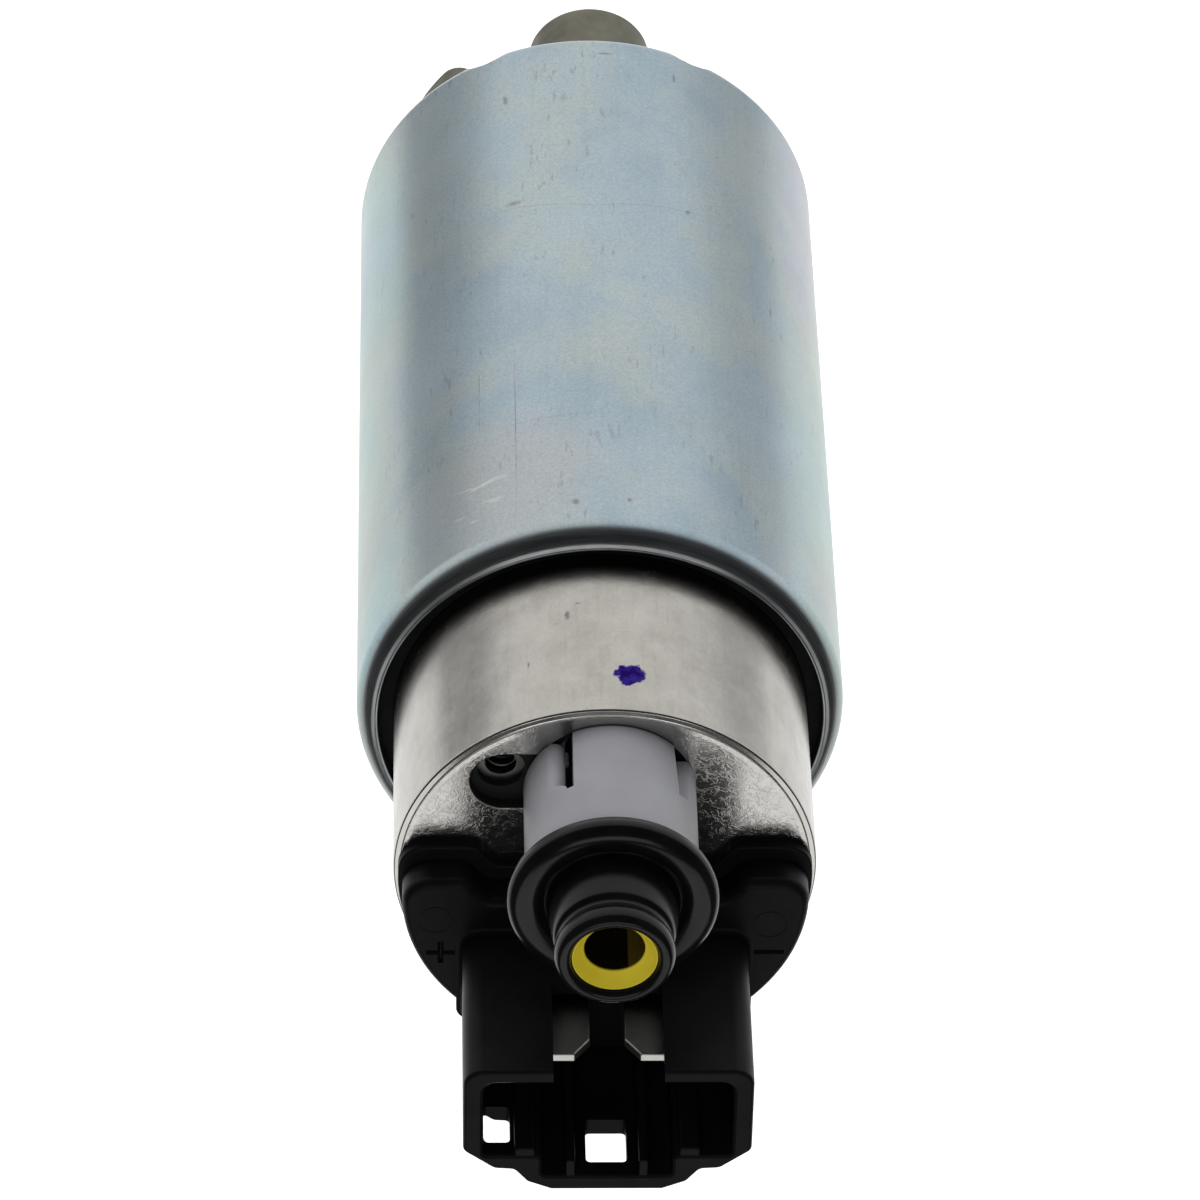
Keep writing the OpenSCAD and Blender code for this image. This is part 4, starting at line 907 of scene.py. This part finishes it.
def inlet():
    """Inlet cover: boss with the port, the curved lug, the hub and the flow channel under the impeller."""
    edge, rim = 0.3, INLET_LIP_R - 0.05
    profile = [(0, 0.25), (9.4, 0.25), (9.7, 0), (rim - edge, 0)]
    profile += arc(rim - edge, edge, edge, -90, 0, 4)
    flange = END_IN_R - 0.05
    profile += [(rim, COVER_SEAT), (flange, COVER_SEAT), (flange, COVER_TOP), (0, COVER_TOP)]
    body = lathe("cover_shell", profile, n=192, closed=False)
    foot = [(0.5, 1), (0.5, 0.3), (0.42, -0.02), (0.2, -0.25), (0.02, -0.45), (0, -0.6), (0, -4)]
    outside = [(0, 1)] + [(BOSS_R + out, z) for out, z in foot]
    outside += arc(BOSS_R - 0.5, 0.5 - BOSS_LEN, 0.5, 0, -90, 6) + [(0, -BOSS_LEN)]
    boss = lathe("boss", outside, BOSS_X, BOSS_Y, n=128, closed=False)
    hub = lathe("hub", [(0, 1), (4.2, 1), (4.2, 0.25), (3.9, 0.05), (0, 0.05)], n=96, closed=False)
    curved, (vent_x, vent_y) = lug()
    combine(body, [boss, curved, hub], "UNION")

    above, bore, chamfer = COVER_TOP + 1, 3.8, 1.5
    inside = [(0, -BOSS_LEN - 1), (bore + chamfer, -BOSS_LEN - 1), (4.15, -BOSS_LEN), (bore, 0.4 - BOSS_LEN),
              (bore, above), (0, above)]
    port = lathe("port", inside, BOSS_X, BOSS_Y, n=96, closed=False)
    narrow = [(0, -LUG_LEN - 1), (0.7, -LUG_LEN - 1), (0.7, above), (0, above)]
    vent = lathe("vent", narrow, vent_x, vent_y, n=32, closed=False)
    pin = lathe("pin_hole", [(0, 2.85), (1.52, 2.85), (1.52, above), (0, above)], n=48, closed=False)
    ring, depth = 13.4, 1.6
    channel = tube("channel", [(*point_at(ring, a), COVER_TOP) for a in range(-80, 231, 5)], depth, 24)
    return combine(body, [port, vent, pin, channel], "DIFFERENCE")


# Springs and braids
def coil(name, cx, cy, radius, wire, curls, low, high):
    """A coil spring between two levels, its wire straight for a little way at both ends."""
    z0, z1, straight, steps = low + wire + 0.05, high - wire - 0.05, 2 * wire, 32
    n = round(curls * steps)
    line = [(cx + radius, cy - straight, z0)]
    for i in range(n + 1):
        a = 2 * math.pi * curls * i / n
        line.append((cx + radius * math.cos(a), cy + radius * math.sin(a), z0 + (z1 - z0) * i / n))
    c, s = math.cos(2 * math.pi * curls), math.sin(2 * math.pi * curls)
    line.append((cx + radius * c - straight * s, cy + radius * s + straight * c, z1))
    return tube(name, line, wire)


def springs():
    """The four coil springs and both pigtails."""
    check = coil("check_coil", OUT_X, OUT_Y, 2.2, 0.225, 7, SEAT_Z + 1.25, RETAINER_Z)
    place(check, WIRE, "housing", "spring_steel", "check_spring")
    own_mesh(check)
    relief = coil("relief_coil", 8.0, -9.6, 1.2, 0.175, 5.5, BALL_TOP - 0.25, RELIEF_CLIP)
    place(relief, SHADED_WIRE, "housing", "spring_steel", "relief_spring")
    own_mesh(relief)
    for side, word in ((1, "positive"), (-1, "negative")):
        wound = coil("brush_coil_" + word, side * BRUSH_X, 0, 2.0, 0.2, 9, BRUSH_TOP, BRUSH_ROOF)
        place(wound, WIRE, "housing", "spring_steel", "brush_spring_" + word)
        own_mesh(wound)
        braid = braided("braid_" + word, side * BRUSH_X, 0, 0.6, BRUSH_TOP, BRUSH_ROOF)
        place(braid, COPPER, "housing", "copper", "pigtail_" + word)
        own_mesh(braid)


def braided(name, cx, cy, radius, low, high):
    """A stranded lead: a bar whose skin is lobed and twisted."""
    verts, faces = [], []
    strands, turns, rows, around = 6, 3.0, 72, 48
    for j in range(rows + 1):
        z = low + (high - low) * j / rows
        twist = 2 * math.pi * turns * j / rows
        for i in range(around):
            a = 2 * math.pi * i / around
            r = radius * (0.86 + 0.14 * abs(math.cos(strands / 2 * (a - twist))))
            verts.append((cx + r * math.cos(a), cy + r * math.sin(a), z))
    for j in range(rows):
        for i in range(around):
            k = (i + 1) % around
            faces.append((j * around + i, j * around + k, (j + 1) * around + k, (j + 1) * around + i))
    faces.append(tuple(range(around)))
    faces.append(tuple(rows * around + i for i in reversed(range(around))))
    return new_object(name, verts, faces, 50)


def build():
    """Draws the pieces that show, and the springs."""
    place(even_shading(housing()), ZINC, "housing", "plated_steel", "housing_sleeve")
    place(even_shading(cup()), STEEL, "housing", "bright_steel", "end_cup")
    place(even_shading(connector()), BLACK, "housing", "black_plastic", "connector_housing")
    place(even_shading(blade(1)), TIN, "housing", "tinned_metal", "terminal_positive")
    place(even_shading(blade(-1)), TIN, "housing", "tinned_metal", "terminal_negative")
    place(even_shading(outlet()), MILKY, "housing", "white_plastic", "outlet_fitting")
    place(even_shading(seal()), RUBBER, "housing", "black_rubber", "outlet_seal")
    place(even_shading(liner()), YELLOW, "housing", "yellow_plastic", "seal_liner")
    place(even_shading(inlet()), COVER, "housing", "cover_metal", "inlet_cover")
    springs()


# Studio
def area_light(name, at, look_at, size_x, size_y, power):
    """A white rectangle of light, in metres and watts."""
    data = bpy.data.lights.new(name, "AREA")
    data.shape, data.size, data.size_y, data.energy = "RECTANGLE", size_x, size_y, power
    obj = bpy.data.objects.new(name, data)
    bpy.context.scene.collection.objects.link(obj)
    obj.location = at
    obj.rotation_euler = (Vector(look_at) - Vector(at)).to_track_quat("-Z", "Y").to_euler()
    return obj


def sheet(name, x, y, wide, deep, z, color, light, glow):
    """A level rectangle of the studio, in metres, that glows."""
    corners = [(x + a * wide / 2, y + b * deep / 2, z) for a, b in ((-1, -1), (1, -1), (1, 1), (-1, 1))]
    mesh = bpy.data.meshes.new(name)
    mesh.from_pydata(corners, [], [(0, 1, 2, 3)])
    obj = bpy.data.objects.new(name, mesh)
    bpy.context.scene.collection.objects.link(obj)
    finish = bpy.data.materials.new(name)
    finish.use_nodes = True
    shader = finish.node_tree.nodes["Principled BSDF"]
    shader.inputs["Base Color"].default_value = (*color, 1)
    shader.inputs["Roughness"].default_value = 0.9
    shader.inputs["Emission Color"].default_value = (*light, 1)
    shader.inputs["Emission Strength"].default_value = glow
    mesh.materials.append(finish)
    return obj


def card(name, x, y, wide, deep, glow):
    """A dim card just above the floor, seen only in reflections, for the soft streaks on the steel."""
    obj = sheet(name, x, y, wide, deep, -0.24, (0.05, 0.05, 0.055), (0.95, 0.98, 1.0), glow)
    obj.visible_camera = obj.visible_diffuse = obj.visible_transmission = obj.visible_shadow = False


def studio():
    """A pale floor and world, two cards, and three lights."""
    scene = bpy.context.scene
    scene.view_settings.view_transform = "Standard"
    world = bpy.data.worlds.new("studio")
    scene.world = world
    world.use_nodes = True
    sky = world.node_tree.nodes["Background"]
    sky.inputs["Color"].default_value = (0.9, 0.95, 1.0, 1)
    sky.inputs["Strength"].default_value = 0.055

    floor = sheet("studio_floor", 0, 0, 8, 8, -0.25, (0.85, 0.85, 0.85), (1, 1, 1), 0.9)
    card("card_left", 0.235, -0.04, 0.21, 0.18, 0.50)
    card("card_right", -0.225, -0.04, 0.20, 0.17, 0.74)

    middle = (0, 0, 0.06)
    area_light("back_box", (0.0, 0.95, 1.15), middle, 2.1, 0.9, 7.2)
    area_light("top_box", (0.0, -0.02, 1.45), middle, 1.0, 0.45, 2.6)
    fill = area_light("front_fill", (0.1, -0.75, 1.3), middle, 0.9, 0.6, 5.5)
    fill.visible_glossy = False


def camera():
    """The photograph's camera, solved from the circles of the body."""
    data = bpy.data.cameras.new("camera")
    data.sensor_width, data.lens = 36.0, 207.33
    data.shift_x, data.shift_y = 0.0027, 0.00105
    data.clip_start, data.clip_end = 0.01, 20
    obj = bpy.data.objects.new("camera", data)
    bpy.context.scene.collection.objects.link(obj)
    right = Vector((-0.99966, -0.01695, 0.01987)).normalized()
    ahead = Vector((-0.02612, 0.65037, -0.75917)).normalized()
    up = right.cross(ahead).normalized()
    turn = Matrix((right, up, -ahead)).transposed().to_4x4()
    obj.matrix_world = Matrix.Translation(Vector((14.350, -357.279, 467.352)) * MM) @ turn
    bpy.context.scene.camera = obj


paint_nodes()
build()
studio()
camera()
